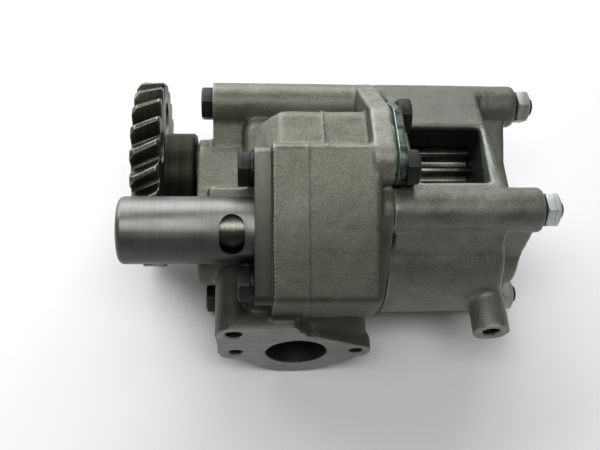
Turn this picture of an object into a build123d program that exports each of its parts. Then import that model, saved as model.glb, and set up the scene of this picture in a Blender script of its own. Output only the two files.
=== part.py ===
"""Two-stage gear oil pump for an engine: a pressure stage, a scavenge stage and a relief valve.

Frame: +X runs along the shafts from the drive gear to the scavenge end, the mounting face is
the plane Y = 0 and faces -Y, and +Z points up when the pump lies on its two port faces.
The origin is the centre of the oil outlet in the mounting face. Lengths are millimetres.
"""

import math
import os

from build123d import *

os.makedirs("parts", exist_ok=True)

# ---------------------------------------------------------------- pump gears and shafts
GEAR_MODULE = 3.0
GEAR_TEETH = 16
PRESSURE_ANGLE = 20.0
TOOTH_BACKLASH = 0.25
GEAR_PHASE = 93.5
SHAFT_Z = 22.0
MAIN_Y = 101.7
DRIVE_SHAFT_RADIUS = 11.0
IDLER_SHAFT_RADIUS = 10.0
BUSH_WALL = 2.5
RUNNING_CLEARANCE = 0.04
SIDE_CLEARANCE = 0.1
TIP_CLEARANCE = 0.3

# ---------------------------------------------------------------- planes along the shafts
JOINT_X = 46.5
CASE_LEFT_X = -28.0
BEARING_LEFT_X = -54.0
PRESSURE_GEAR_WIDTH = 30.0
SCAVENGE_GEAR_WIDTH = 49.0
SEPARATOR_THICKNESS = 6.0
SCAVENGE_WALL = 4.0
SCAVENGE_CASE_RIGHT_X = 108.5
SCAVENGE_BEARING_RIGHT_X = 122.0
END_WEB_RIGHT_X = 122.8

# ---------------------------------------------------------------- castings
CASE_WALL = 9.2
BEARING_BOSS_RADIUS = 21.0
REAR_FLANGE_THICKNESS = 11.5
SUCTION_FACE_Z = -32.0
PORT_BORE_RADIUS = 13.0
PORT_BORE_DEPTH = 16.0
PORT_PASSAGE_RADIUS = 11.0
PORT_FLANGE_RADIUS = 19.0
PORT_FLANGE_THICKNESS = 9.0
PORT_SCREW_SPACING = 50.0
PORT_SCREW_RADIUS = 3.4
PORT_SCREW_DEPTH = 16.0

# ---------------------------------------------------------------- mounting face
OUTLET_RADIUS = 16.5
OUTLET_DEPTH = 22.0
MOUNT_FLANGE_THICKNESS = 9.0
MOUNT_HOLE_X = -34.0
EAR_X = 102.5
MOUNT_HOLE_Z = 25.0
MOUNT_HOLE_RADIUS = 4.25
MOUNT_HOLE_DEPTH = 18.0
MOUNT_BOSS_RADIUS = 9.8
PIPE_SCREW_X = 33.0
PIPE_SCREW_RADIUS = 3.4
PIPE_SCREW_DEPTH = 14.0
COUNTERSINK = 1.2

# ---------------------------------------------------------------- bolts through both castings
BOLT_RADIUS = 5.0
BOLT_HOLE_RADIUS = 5.5
HEX_FLATS = 17.0
HEAD_HEIGHT = 6.4
NUT_HEIGHT = 7.4
WASHER_RADIUS = 9.0
WASHER_THICKNESS = 2.0
THREAD_STICKOUT = 2.6
TOP_BOLT_OFFSET = (29.2, 30.0)
BACK_BOLT_OFFSET = (30.0, -26.0)
NEAR_STUD_OFFSET = (-2.3, 44.0)
BOTTOM_BOLT_OFFSET = (-10.7, -42.0)
TOP_BOSS_RADIUS = 12.0
NEAR_BOSS_RADIUS = 11.8
BOTTOM_BOSS_RADIUS = 10.5
TOP_BOSS_LEFT_X = -45.8
TOP_BOSS_RIGHT_X = 128.2
BACK_BOSS_RIGHT_X = 109.5
BOTTOM_BOSS_LEFT_X = -44.0
BOTTOM_BOSS_RIGHT_X = 125.0
NEAR_BOSS_RIGHT_X = 124.0
STUD_ROOT_X = 24.0

# ---------------------------------------------------------------- relief valve
VALVE_DIRECTION = (-59.5, 39.8)
TUBE_GEAR_CLEARANCE = 1.2821
VALVE_TILT = 27.0
BOX_LEFT_X = -14.7
BOX_RIGHT_X = 39.2
BOX_LOW_MARGIN = 7.3
BOX_SHOULDER_MARGIN = 0.7
BOX_HEEL = -6.0
BOX_HIGH_MARGIN = 2.0
BOX_FRONT_MARGIN = 0.6
BOX_BACK_MARGIN = 3.5
GASKET_THICKNESS = 0.9
PLATE_THICKNESS = 8.0
PLATE_LOW_MARGIN = 10.2
PLATE_HIGH_MARGIN = 9.5
PLATE_BACK_MARGIN = 0.4
PLATE_POCKET = 1.0
PLATE_SCREW_GAPS = (10.1, 13.6)
SCREW_POCKET_RADIUS = 11.5
SCREW_POCKET_LEFT_X = -38.0
TUBE_RADIUS = 16.9
TUBE_WALL = 4.25
TUBE_LEFT_X = -90.4
TUBE_END_THICKNESS = 5.0
PLATE_LIP = 2.0
LIP_WIDTH = 2.5
SLOT_X = -34.5
SLOT_WIDTH = 12.4
SLOT_LENGTH = 20.0
SLOT_TURN = 38.5
PLUNGER_LENGTH = 26.0
PLUNGER_WALL = 2.6
VALVE_TRAVEL = 18.0
SPRING_WIRE = 2.6
SPRING_RADIUS = 8.2
SPRING_COILS = 8

# ---------------------------------------------------------------- gallery
GALLERY_RISE = 26.5
GALLERY_FAR = 25.0
GALLERY_NEAR = 12.0
GALLERY_BORE_RISE = 13.5
GALLERY_LEFT_X = -27.0
GALLERY_RAMP = 17.0
GALLERY_RADIUS = 7.0
GALLERY_BORE_RADIUS = 6.5
COVER_THICKNESS = 4.3
COVER_GASKET_THICKNESS = 0.7
COVER_SCREW_LENGTH = 9.0

# ---------------------------------------------------------------- window of the scavenge stage
WINDOW_LEFT_X = 60.0
WINDOW_RIGHT_X = 98.0
WINDOW_NEAR_Y = 62.0
WINDOW_FAR_Y = 103.0
WINDOW_FAR_RIGHT_X = 101.0
WINDOW_RIM_X = 104.5
WINDOW_CORNER = 2.5

# ---------------------------------------------------------------- drive gear
DRIVE_TEETH = 24
DRIVE_MODULE = 3.75
DRIVE_HELIX = 25.0
DRIVE_PHASE = 97.3
DRIVE_FLANK_ANGLE = 26.0
DRIVE_LEFT_X = -87.6
DRIVE_WIDTH = 15.1
DRIVE_LEFT_CHAMFER = 2.4
DRIVE_RIGHT_CHAMFER = 1.2
DRIVE_BACKLASH = 0.4
HUB_RADIUS = 24.3
HUB_LENGTH = 17.3
HUB_RECESS_RADIUS = 19.0
HUB_RECESS_DEPTH = 11.0
LIGHTENING_RADIUS = 8.5
LIGHTENING_CIRCLE = 34.0
LIGHTENING_COUNT = 6
RETAINER_RADIUS = 17.0
RETAINER_THICKNESS = 4.0
KEY_WIDTH = 6.0
KEY_HEIGHT = 3.0
THRUST_RADIUS = 16.0

# ---------------------------------------------------------------- worked out from the above
CENTRE_DISTANCE = GEAR_MODULE * GEAR_TEETH
GEAR_TIP = GEAR_MODULE * (GEAR_TEETH / 2 + 1)
CAVITY_RADIUS = GEAR_TIP + TIP_CLEARANCE
CASE_RADIUS = CAVITY_RADIUS + CASE_WALL
MAIN = (MAIN_Y, SHAFT_Z)
IDLER = (MAIN_Y - CENTRE_DISTANCE, SHAFT_Z)
MESH_Y = MAIN_Y - CENTRE_DISTANCE / 2
TOP_BOLT = (MAIN[0] + TOP_BOLT_OFFSET[0], MAIN[1] + TOP_BOLT_OFFSET[1])
BACK_BOLT = (MAIN[0] + BACK_BOLT_OFFSET[0], MAIN[1] + BACK_BOLT_OFFSET[1])
NEAR_STUD = (IDLER[0] + NEAR_STUD_OFFSET[0], IDLER[1] + NEAR_STUD_OFFSET[1])
BOTTOM_BOLT = (IDLER[0] + BOTTOM_BOLT_OFFSET[0], IDLER[1] + BOTTOM_BOLT_OFFSET[1])
SEPARATOR_LEFT_X = JOINT_X - SEPARATOR_THICKNESS
PRESSURE_GEAR_X = SEPARATOR_LEFT_X - SIDE_CLEARANCE - PRESSURE_GEAR_WIDTH
PRESSURE_CAVITY_X = PRESSURE_GEAR_X - SIDE_CLEARANCE
SCAVENGE_GEAR_X = JOINT_X + SIDE_CLEARANCE + SCAVENGE_WALL
SCAVENGE_CAVITY_X = SCAVENGE_GEAR_X + SCAVENGE_GEAR_WIDTH + SIDE_CLEARANCE
SUCTION_X = PRESSURE_GEAR_X + PRESSURE_GEAR_WIDTH / 2
RETURN_X = SCAVENGE_GEAR_X + SCAVENGE_GEAR_WIDTH / 2
CASE_TOP_Z = SHAFT_Z + CASE_RADIUS
GALLERY_TOP_Z = CASE_TOP_Z + GALLERY_RISE
GALLERY_FAR_Y = MESH_Y + GALLERY_FAR
GALLERY_NEAR_Y = MESH_Y - GALLERY_NEAR
GALLERY_BORE_Z = CASE_TOP_Z + GALLERY_BORE_RISE
GALLERY_BORE = (
    ((MESH_Y - 2.0, GALLERY_BORE_Z), GALLERY_BORE_RADIUS),
    ((MESH_Y + 12.0, GALLERY_BORE_Z), GALLERY_BORE_RADIUS),
)
GALLERY_CORNERS = (
    ((MESH_Y - 7.6, CASE_TOP_Z + 24.7), 12.8),
    ((MESH_Y + 13.0, CASE_TOP_Z + 23.5), 12.5),
)
COVER_SCREWS = ((MESH_Y - 13.5, CASE_TOP_Z + 27.0), (MESH_Y + 20.5, CASE_TOP_Z + 25.0))
DRIVE_PITCH_RADIUS = DRIVE_MODULE * DRIVE_TEETH / math.cos(math.radians(DRIVE_HELIX)) / 2
DRIVE_TIP = DRIVE_PITCH_RADIUS + DRIVE_MODULE
VALVE_REACH = DRIVE_TIP + TUBE_GEAR_CLEARANCE + TUBE_RADIUS
VALVE_Y = MAIN_Y + VALVE_REACH * VALVE_DIRECTION[0] / math.hypot(*VALVE_DIRECTION)
VALVE_Z = SHAFT_Z + VALVE_REACH * VALVE_DIRECTION[1] / math.hypot(*VALVE_DIRECTION)
PLATE_SCREWS_ALONG = (-TUBE_RADIUS - PLATE_SCREW_GAPS[0], TUBE_RADIUS + PLATE_SCREW_GAPS[1])
PLATE_LOW = PLATE_SCREWS_ALONG[0] - PLATE_LOW_MARGIN
PLATE_HIGH = PLATE_SCREWS_ALONG[1] + PLATE_HIGH_MARGIN
PLATE_BACK = PLATE_BACK_MARGIN - TUBE_RADIUS
BOX_LOW = PLATE_LOW - BOX_LOW_MARGIN
BOX_SHOULDER = PLATE_LOW + BOX_SHOULDER_MARGIN
BOX_HIGH = PLATE_HIGH + BOX_HIGH_MARGIN
BOX_FRONT = TUBE_RADIUS + BOX_FRONT_MARGIN
BOX_BACK = PLATE_BACK - BOX_BACK_MARGIN
PLATE_RIGHT_X = BOX_LEFT_X - GASKET_THICKNESS
PLATE_LEFT_X = PLATE_RIGHT_X - PLATE_THICKNESS
TUBE_RIGHT_X = PLATE_RIGHT_X - PLATE_LIP
TUBE_BORE = TUBE_RADIUS - TUBE_WALL
COVER_LEFT_X = JOINT_X + COVER_GASKET_THICKNESS
COVER_RIGHT_X = COVER_LEFT_X + COVER_THICKNESS
HUB_RIGHT_X = DRIVE_LEFT_X + DRIVE_WIDTH + HUB_LENGTH
RETAINER_SEAT_X = DRIVE_LEFT_X + HUB_RECESS_DEPTH
SHELF_CORNERS = (
    (MESH_Y + 6.3, SHAFT_Z + 12.6),
    (MESH_Y - 6.7, SHAFT_Z + 35.0),
    (MESH_Y - 15.2, SHAFT_Z + 30.0),
    (MESH_Y - 6.7, SHAFT_Z + 5.0),
)


FROM_BASE = (Align.CENTER, Align.CENTER, Align.MIN)


# ---------------------------------------------------------------- shapes used more than once
def rod(at, start, end, radius, mode=Mode.ADD):
    """A round bar along X, centred on (y, z)."""
    with BuildSketch(Plane.YZ.offset(start)) as disc:
        with Locations(at):
            Circle(radius)
    extrude(disc.sketch, amount=end - start, mode=mode)


def web(rounds, start, end, mode=Mode.ADD):
    """A wall across X, shaped as a belt drawn round the given (centre, radius) circles."""
    with BuildSketch(Plane.YZ.offset(start)) as belt:
        for at, radius in rounds:
            with Locations(at):
                Circle(radius)
        make_hull()
    extrude(belt.sketch, amount=end - start, mode=mode)


def pad(rounds, start, end, mode=Mode.ADD):
    """A plate across Y, shaped as a belt round circles given by (x, z) and radius."""
    with BuildSketch(Plane.XZ.offset(-start)) as belt:
        for at, radius in rounds:
            with Locations(at):
                Circle(radius)
        make_hull()
    extrude(belt.sketch, amount=start - end, mode=mode)


def drill_y(x, z, radius, depth, sink=0.0):
    """A blind hole from the mounting face, with an optional countersink."""
    with BuildSketch(Plane.XZ) as mouth:
        with Locations((x, z)):
            Circle(radius)
    extrude(mouth.sketch, amount=-depth, mode=Mode.SUBTRACT)
    if sink > 0:
        with Locations(Plane(origin=(x, 0, z), z_dir=(0, 1, 0))):
            Cone(radius + sink, radius, sink, align=FROM_BASE, mode=Mode.SUBTRACT)


def drill_z(x, y, radius, bottom, top):
    """A round passage along Z between two heights."""
    with BuildSketch(Plane.XY.offset(bottom)) as mouth:
        with Locations((x, y)):
            Circle(radius)
    extrude(mouth.sketch, amount=top - bottom, mode=Mode.SUBTRACT)


def port_pad(x):
    """Neck and two-screw flange of an oil port on the underside, at one place along X."""
    with BuildSketch(Plane.XY.offset(SUCTION_FACE_Z)) as outline:
        for shift, radius in ((-1, 8.5), (0, PORT_FLANGE_RADIUS), (1, 8.5)):
            with Locations((x, MESH_Y + shift * PORT_SCREW_SPACING / 2)):
                Circle(radius)
        make_hull()
    extrude(outline.sketch, amount=PORT_FLANGE_THICKNESS)
    with BuildSketch(Plane.XY.offset(SUCTION_FACE_Z)) as neck:
        with Locations((x, MESH_Y)):
            Circle(PORT_FLANGE_RADIUS - 1)
    extrude(neck.sketch, amount=SHAFT_Z - CASE_RADIUS / 2 - SUCTION_FACE_Z)


def port_holes(x):
    """The oil bore and the two blind screw holes of an underside port."""
    drill_z(x, MESH_Y, PORT_BORE_RADIUS, SUCTION_FACE_Z, SUCTION_FACE_Z + PORT_BORE_DEPTH)
    drill_z(x, MESH_Y, PORT_PASSAGE_RADIUS, SUCTION_FACE_Z, SHAFT_Z - 8)
    for side in (-1, 1):
        screw_y = MESH_Y + side * PORT_SCREW_SPACING / 2
        drill_z(x, screw_y, PORT_SCREW_RADIUS, SUCTION_FACE_Z, SUCTION_FACE_Z + PORT_SCREW_DEPTH)


def valve_plane(x):
    """Sketch plane across X on the valve axis: local x runs up the plate, local y out of it."""
    turn = math.radians(VALVE_TILT)
    along = (0, math.cos(turn), math.sin(turn))
    return Plane(origin=(x, VALVE_Y, VALVE_Z), x_dir=along, z_dir=(1, 0, 0))


def valve_point(along, out):
    """The (y, z) of a point given in the valve plate's own directions."""
    turn = math.radians(VALVE_TILT)
    return (
        VALVE_Y + along * math.cos(turn) - out * math.sin(turn),
        VALVE_Z + along * math.sin(turn) + out * math.cos(turn),
    )


def involute_tooth(module, teeth, backlash):
    """Half-angles at which a tooth's flank crosses a few radii, from root to tip."""
    pitch = module * teeth / 2
    base = pitch * math.cos(math.radians(PRESSURE_ANGLE))
    root = pitch - 1.25 * module
    tip = pitch + module
    involute_at = math.tan(math.radians(PRESSURE_ANGLE)) - math.radians(PRESSURE_ANGLE)
    half_pitch_angle = math.pi / (2 * teeth) - backlash / (2 * pitch) / 2 + involute_at
    flank = [(root, half_pitch_angle)]
    start = max(base, root)
    for step in range(5):
        radius = start + (tip - start) * step / 4
        roll = math.acos(min(1.0, base / radius))
        flank.append((radius, half_pitch_angle - (math.tan(roll) - roll)))
    return flank


def gear_points(module, teeth, backlash, phase):
    """Outline of a spur gear section: one tooth repeated round the circle."""
    flank = involute_tooth(module, teeth, backlash)
    points = []
    for tooth in range(teeth):
        middle = math.radians(phase) + 2 * math.pi * tooth / teeth
        for radius, half in flank:
            points.append((radius * math.cos(middle - half), radius * math.sin(middle - half)))
        for radius, half in reversed(flank):
            points.append((radius * math.cos(middle + half), radius * math.sin(middle + half)))
    return points


def gear_section(x, at, module, teeth, backlash, phase):
    """The gear's outline as a sketch across X."""
    points = gear_points(module, teeth, backlash, phase)
    with BuildSketch(Plane.YZ.offset(x)) as section:
        with BuildLine():
            Polyline([(at[0] + y, at[1] + z) for y, z in points], close=True)
        make_face()
    return section.sketch


def hex_screw(length):
    """A hexagon screw along +X with its bearing face at X = 0."""
    corner = HEX_FLATS / math.sqrt(3)
    with BuildPart() as screw:
        with BuildSketch(Plane.YZ.offset(-HEAD_HEIGHT)):
            RegularPolygon(HEX_FLATS / 2, 6, major_radius=False)
        extrude(amount=HEAD_HEIGHT)
        with BuildSketch(Plane.XY):
            with BuildLine():
                Polyline(
                    (-HEAD_HEIGHT, 0),
                    (-HEAD_HEIGHT, HEX_FLATS / 2 * 0.96),
                    (-HEAD_HEIGHT + 1.2, corner + 0.2),
                    (0, corner + 0.2),
                    (0, 0),
                    close=True,
                )
            make_face()
        revolve(axis=Axis.X, mode=Mode.INTERSECT)
        with BuildSketch(Plane.YZ):
            Circle(BOLT_RADIUS)
        extrude(amount=length)
    return screw.part


# ---------------------------------------------------------------- front (pressure) body
# The cast block behind the valve plate, leaning with the plate.
with BuildPart() as valve_box:
    with BuildSketch(valve_plane(BOX_LEFT_X)) as box_end:
        with BuildLine():
            FilletPolyline(
                (BOX_LOW, BOX_BACK),
                (BOX_HIGH, BOX_BACK),
                (BOX_HIGH, BOX_FRONT),
                (BOX_SHOULDER, BOX_FRONT),
                (BOX_LOW, BOX_HEEL),
                radius=4,
                close=True,
            )
        make_face()
    extrude(amount=BOX_RIGHT_X - BOX_LEFT_X)
    right_rim = valve_box.faces().sort_by(Axis.X)[-1].edges()
    fillet(right_rim, radius=3)

# The raised oil gallery over the gears, ramped at its left end.
with BuildPart() as gallery_hump:
    with BuildSketch(Plane.XZ.offset(-GALLERY_NEAR_Y)):
        with BuildLine():
            Polyline(
                (GALLERY_LEFT_X, SHAFT_Z + CASE_RADIUS / 2),
                (GALLERY_LEFT_X, GALLERY_TOP_Z - GALLERY_RAMP),
                (GALLERY_LEFT_X + GALLERY_RAMP, GALLERY_TOP_Z),
                (JOINT_X - 2.0, GALLERY_TOP_Z),
                (JOINT_X - 2.0, SHAFT_Z + CASE_RADIUS / 2),
                close=True,
            )
        make_face()
    extrude(amount=GALLERY_NEAR_Y - GALLERY_FAR_Y)
    far_edges = gallery_hump.faces().sort_by(Axis.Y)[-1].edges()
    fillet(far_edges.filter_by(lambda e: e.center().Z > GALLERY_TOP_Z - GALLERY_RAMP - 1), radius=6)

# The gear case with its rounded left rim.
with BuildPart() as front_case:
    web(((MAIN, CASE_RADIUS), (IDLER, CASE_RADIUS)), CASE_LEFT_X, JOINT_X)
    fillet(front_case.faces().sort_by(Axis.X)[0].edges(), radius=6)

with BuildPart() as front_body:
    add(front_case.part)
    add(valve_box.part)
    add(gallery_hump.part)
    # bearing housings on the left end
    web(((MAIN, BEARING_BOSS_RADIUS), (IDLER, BEARING_BOSS_RADIUS)), BEARING_LEFT_X, 0)
    # bolt bosses, and the webs that tie them to the bearing housings
    rod(TOP_BOLT, TOP_BOSS_LEFT_X, JOINT_X, TOP_BOSS_RADIUS)
    rod(BACK_BOLT, TOP_BOSS_LEFT_X, JOINT_X, TOP_BOSS_RADIUS)
    rod(BOTTOM_BOLT, BOTTOM_BOSS_LEFT_X, JOINT_X, BOTTOM_BOSS_RADIUS)
    rod(NEAR_STUD, STUD_ROOT_X - 6, JOINT_X, NEAR_BOSS_RADIUS)
    web(((TOP_BOLT, 7.0), (MAIN, 13.0)), TOP_BOSS_LEFT_X, 0)
    web(((BACK_BOLT, 7.0), (MAIN, 13.0)), TOP_BOSS_LEFT_X, 0)
    web(((BOTTOM_BOLT, 7.0), (IDLER, 13.0)), BOTTOM_BOSS_LEFT_X, 0)
    # room for the valve plate, which stands in front of the castings
    with BuildSketch(valve_plane(BEARING_LEFT_X - 1)):
        with Locations(((PLATE_LOW + PLATE_HIGH) / 2, PLATE_BACK - PLATE_POCKET + 40)):
            Rectangle(PLATE_HIGH - PLATE_LOW + 2 * PLATE_POCKET, 80)
    extrude(amount=BOX_LEFT_X - BEARING_LEFT_X + 1, mode=Mode.SUBTRACT)
    # rear flange that meets the scavenge body and the gallery cover
    web(
        (
            (MAIN, CASE_RADIUS),
            (IDLER, CASE_RADIUS),
            (TOP_BOLT, TOP_BOSS_RADIUS),
            (BACK_BOLT, TOP_BOSS_RADIUS),
            (BOTTOM_BOLT, BOTTOM_BOSS_RADIUS),
            (NEAR_STUD, NEAR_BOSS_RADIUS),
        ),
        JOINT_X - REAR_FLANGE_THICKNESS,
        JOINT_X,
    )
    web(
        GALLERY_CORNERS + ((TOP_BOLT, TOP_BOSS_RADIUS), (MAIN, BEARING_BOSS_RADIUS)),
        JOINT_X - REAR_FLANGE_THICKNESS,
        JOINT_X,
    )
    # mounting flange: the bolt corner on the left, the pipe flange round the outlet
    pad(
        (
            ((MOUNT_HOLE_X, MOUNT_HOLE_Z), MOUNT_BOSS_RADIUS),
            ((-PIPE_SCREW_X, 0), MOUNT_BOSS_RADIUS),
            ((-3.5, MOUNT_HOLE_Z + MOUNT_BOSS_RADIUS - 3.5), 3.5),
            ((-8, -2), 14),
        ),
        0,
        MOUNT_FLANGE_THICKNESS,
    )
    pad(
        (((0, -4), 27.5), ((PIPE_SCREW_X, 0), MOUNT_BOSS_RADIUS - 1.4)),
        0,
        MOUNT_FLANGE_THICKNESS,
    )
    pad((((0, -2), OUTLET_RADIUS + 6), ((22, 0), 9)), 0, IDLER[0])
    # column over the left mounting hole
    pad((((MOUNT_HOLE_X, MOUNT_HOLE_Z), MOUNT_BOSS_RADIUS),), 0, IDLER[0] - 12)
    pad((((MOUNT_HOLE_X + 2, 4), MOUNT_BOSS_RADIUS - 2), ((0, 4), 8)), 0, IDLER[0] - 12)
    pad((((MOUNT_HOLE_X, 21), 9), ((-4, 21), 9)), 0, IDLER[0] - 12)
    # suction port on the underside
    port_pad(SUCTION_X)
    # shelf between the bearing housing and the valve tube
    with BuildSketch(Plane.YZ.offset(BEARING_LEFT_X + 7)):
        with BuildLine():
            Polyline(*SHELF_CORNERS, close=True)
        make_face()
    extrude(amount=-BEARING_LEFT_X - 27)

    # --- clearance round the valve plate, its two screws and the valve tube
    with BuildSketch(valve_plane(PLATE_LEFT_X - PLATE_POCKET)):
        with Locations(((PLATE_LOW + PLATE_HIGH) / 2, PLATE_BACK - PLATE_POCKET + 40)):
            Rectangle(PLATE_HIGH - PLATE_LOW + 2 * PLATE_POCKET, 80)
    extrude(amount=BOX_LEFT_X - PLATE_LEFT_X + PLATE_POCKET, mode=Mode.SUBTRACT)
    for along in PLATE_SCREWS_ALONG:
        rod(
            valve_point(along, 0),
            SCREW_POCKET_LEFT_X,
            PLATE_LEFT_X,
            SCREW_POCKET_RADIUS,
            Mode.SUBTRACT,
        )
    rod(
        (VALVE_Y, VALVE_Z),
        BEARING_LEFT_X,
        PLATE_LEFT_X,
        TUBE_RADIUS + PLATE_POCKET,
        Mode.SUBTRACT,
    )

    # --- cored and machined spaces
    rod(MAIN, PRESSURE_CAVITY_X, JOINT_X, CAVITY_RADIUS, Mode.SUBTRACT)
    rod(IDLER, PRESSURE_CAVITY_X, JOINT_X, CAVITY_RADIUS, Mode.SUBTRACT)
    rod(MAIN, BEARING_LEFT_X, PRESSURE_CAVITY_X, DRIVE_SHAFT_RADIUS + BUSH_WALL, Mode.SUBTRACT)
    rod(IDLER, BEARING_LEFT_X + 8, PRESSURE_CAVITY_X, IDLER_SHAFT_RADIUS, Mode.SUBTRACT)
    port_holes(SUCTION_X)
    # outlet, its passage up to the valve pocket, and the gallery
    drill_y(0, 0, OUTLET_RADIUS, OUTLET_DEPTH)
    drill_z(BOX_LEFT_X + 7, 12, 6, 0, VALVE_Z - 14)
    with BuildSketch(valve_plane(BOX_LEFT_X)):
        SlotCenterToCenter(40, 20)
    extrude(amount=13, mode=Mode.SUBTRACT)
    web(GALLERY_BORE, BOX_LEFT_X + 6, JOINT_X, Mode.SUBTRACT)
    drill_z(SUCTION_X, MESH_Y, 8, SHAFT_Z + 8, GALLERY_BORE_Z)
    with BuildSketch(Plane.XZ.offset(-VALVE_Y)):
        with Locations((BOX_LEFT_X + 9, GALLERY_BORE_Z - 2)):
            Rectangle(6, 8)
    extrude(amount=-(MESH_Y - VALVE_Y), mode=Mode.SUBTRACT)
    # screw holes
    drill_y(MOUNT_HOLE_X, MOUNT_HOLE_Z, MOUNT_HOLE_RADIUS, MOUNT_HOLE_DEPTH, COUNTERSINK)
    drill_y(-PIPE_SCREW_X, 0, PIPE_SCREW_RADIUS, PIPE_SCREW_DEPTH, COUNTERSINK)
    drill_y(PIPE_SCREW_X, 0, PIPE_SCREW_RADIUS, PIPE_SCREW_DEPTH, COUNTERSINK)
    for at in (TOP_BOLT, BACK_BOLT, BOTTOM_BOLT):
        rod(at, BEARING_LEFT_X, JOINT_X, BOLT_HOLE_RADIUS, Mode.SUBTRACT)
    rod(NEAR_STUD, STUD_ROOT_X, JOINT_X, BOLT_RADIUS, Mode.SUBTRACT)
    for at in COVER_SCREWS:
        rod(at, JOINT_X - COVER_SCREW_LENGTH, JOINT_X, BOLT_RADIUS, Mode.SUBTRACT)
    for along in PLATE_SCREWS_ALONG:
        rod(valve_point(along, 0), BOX_LEFT_X, BOX_LEFT_X + 12, BOLT_RADIUS, Mode.SUBTRACT)
front_body.part.label = "front_body"
export_step(front_body.part, "parts/front_body.step")


# ---------------------------------------------------------------- scavenge body
with BuildPart() as scavenge_case:
    web(((MAIN, CASE_RADIUS), (IDLER, CASE_RADIUS)), JOINT_X, SCAVENGE_CASE_RIGHT_X)
    fillet(scavenge_case.faces().sort_by(Axis.X)[-1].edges(), radius=3)

with BuildPart() as scavenge_body:
    add(scavenge_case.part)
    # bolt bosses running past the case
    rod(TOP_BOLT, JOINT_X, TOP_BOSS_RIGHT_X, TOP_BOSS_RADIUS)
    rod(BACK_BOLT, JOINT_X, BACK_BOSS_RIGHT_X, TOP_BOSS_RADIUS)
    rod(BOTTOM_BOLT, JOINT_X, BOTTOM_BOSS_RIGHT_X, BOTTOM_BOSS_RADIUS)
    rod(NEAR_STUD, JOINT_X, NEAR_BOSS_RIGHT_X, NEAR_BOSS_RADIUS)
    # flat window land between the top boss and the near boss, clear of the gallery cover
    web(
        ((TOP_BOLT, TOP_BOSS_RADIUS), (NEAR_STUD, NEAR_BOSS_RADIUS)),
        COVER_RIGHT_X + 0.6,
        WINDOW_RIM_X,
    )
    web(((BACK_BOLT, 8.0), (MAIN, BEARING_BOSS_RADIUS)), JOINT_X, BACK_BOSS_RIGHT_X)
    web(((TOP_BOLT, 8.0), (MAIN, BEARING_BOSS_RADIUS)), WINDOW_RIM_X - 5, SCAVENGE_BEARING_RIGHT_X)
    # bearing housings and the end web down to the lower bosses
    web(
        ((MAIN, BEARING_BOSS_RADIUS), (IDLER, BEARING_BOSS_RADIUS)),
        WINDOW_RIM_X - 5,
        SCAVENGE_BEARING_RIGHT_X,
    )
    web(
        ((NEAR_STUD, 8.0), (IDLER, 16.0), (BOTTOM_BOLT, 8.0)),
        WINDOW_RIM_X - 5,
        END_WEB_RIGHT_X,
    )
    # mounting ear with its column
    pad((((EAR_X, MOUNT_HOLE_Z), MOUNT_BOSS_RADIUS),), 0, IDLER[0] - 20)
    pad((((EAR_X, MOUNT_HOLE_Z), 5), ((EAR_X - 12, MOUNT_HOLE_Z), 5)), 19, IDLER[0] - 20)
    port_pad(RETURN_X)

    # --- gear cavities, bearings and ports
    rod(MAIN, SCAVENGE_GEAR_X - SIDE_CLEARANCE, SCAVENGE_CAVITY_X, CAVITY_RADIUS, Mode.SUBTRACT)
    rod(IDLER, SCAVENGE_GEAR_X - SIDE_CLEARANCE, SCAVENGE_CAVITY_X, CAVITY_RADIUS, Mode.SUBTRACT)
    rod(MAIN, JOINT_X, SCAVENGE_GEAR_X, DRIVE_SHAFT_RADIUS + 2.0, Mode.SUBTRACT)
    rod(IDLER, JOINT_X, SCAVENGE_BEARING_RIGHT_X - 8, IDLER_SHAFT_RADIUS, Mode.SUBTRACT)
    rod(
        MAIN,
        SCAVENGE_CAVITY_X,
        SCAVENGE_BEARING_RIGHT_X - 5,
        DRIVE_SHAFT_RADIUS + BUSH_WALL,
        Mode.SUBTRACT,
    )
    port_holes(RETURN_X)
    # inlet window, cut straight down to the gears
    with BuildSketch(Plane.XY.offset(SHAFT_Z + 5)):
        with BuildLine():
            FilletPolyline(
                (WINDOW_LEFT_X, WINDOW_NEAR_Y),
                (WINDOW_RIGHT_X, WINDOW_NEAR_Y),
                (WINDOW_FAR_RIGHT_X, WINDOW_FAR_Y),
                (WINDOW_LEFT_X, WINDOW_FAR_Y),
                radius=WINDOW_CORNER,
                close=True,
            )
        make_face()
    extrude(amount=60, mode=Mode.SUBTRACT)
    # screw holes
    drill_y(EAR_X, MOUNT_HOLE_Z, MOUNT_HOLE_RADIUS, MOUNT_HOLE_DEPTH, COUNTERSINK)
    for at in (TOP_BOLT, BACK_BOLT, BOTTOM_BOLT, NEAR_STUD):
        rod(at, JOINT_X, TOP_BOSS_RIGHT_X, BOLT_HOLE_RADIUS, Mode.SUBTRACT)
scavenge_body.part.label = "scavenge_body"
export_step(scavenge_body.part, "parts/scavenge_body.step")


# ---------------------------------------------------------------- plate between the two stages
with BuildPart() as separator_plate:
    rod(MAIN, SEPARATOR_LEFT_X, JOINT_X, CAVITY_RADIUS)
    rod(IDLER, SEPARATOR_LEFT_X, JOINT_X, CAVITY_RADIUS)
    rod(MAIN, SEPARATOR_LEFT_X, JOINT_X, DRIVE_SHAFT_RADIUS + 2.0, Mode.SUBTRACT)
    rod(IDLER, SEPARATOR_LEFT_X, JOINT_X, IDLER_SHAFT_RADIUS, Mode.SUBTRACT)
separator_plate.part.label = "separator_plate"
export_step(separator_plate.part, "parts/separator_plate.step")


# ---------------------------------------------------------------- bushes and the idler shaft
def bush(start, end):
    """A plain bearing bush on the drive shaft."""
    with BuildPart() as ring:
        rod(MAIN, start, end, DRIVE_SHAFT_RADIUS + BUSH_WALL)
        rod(MAIN, start, end, DRIVE_SHAFT_RADIUS + RUNNING_CLEARANCE, Mode.SUBTRACT)
    return ring.part


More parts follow.
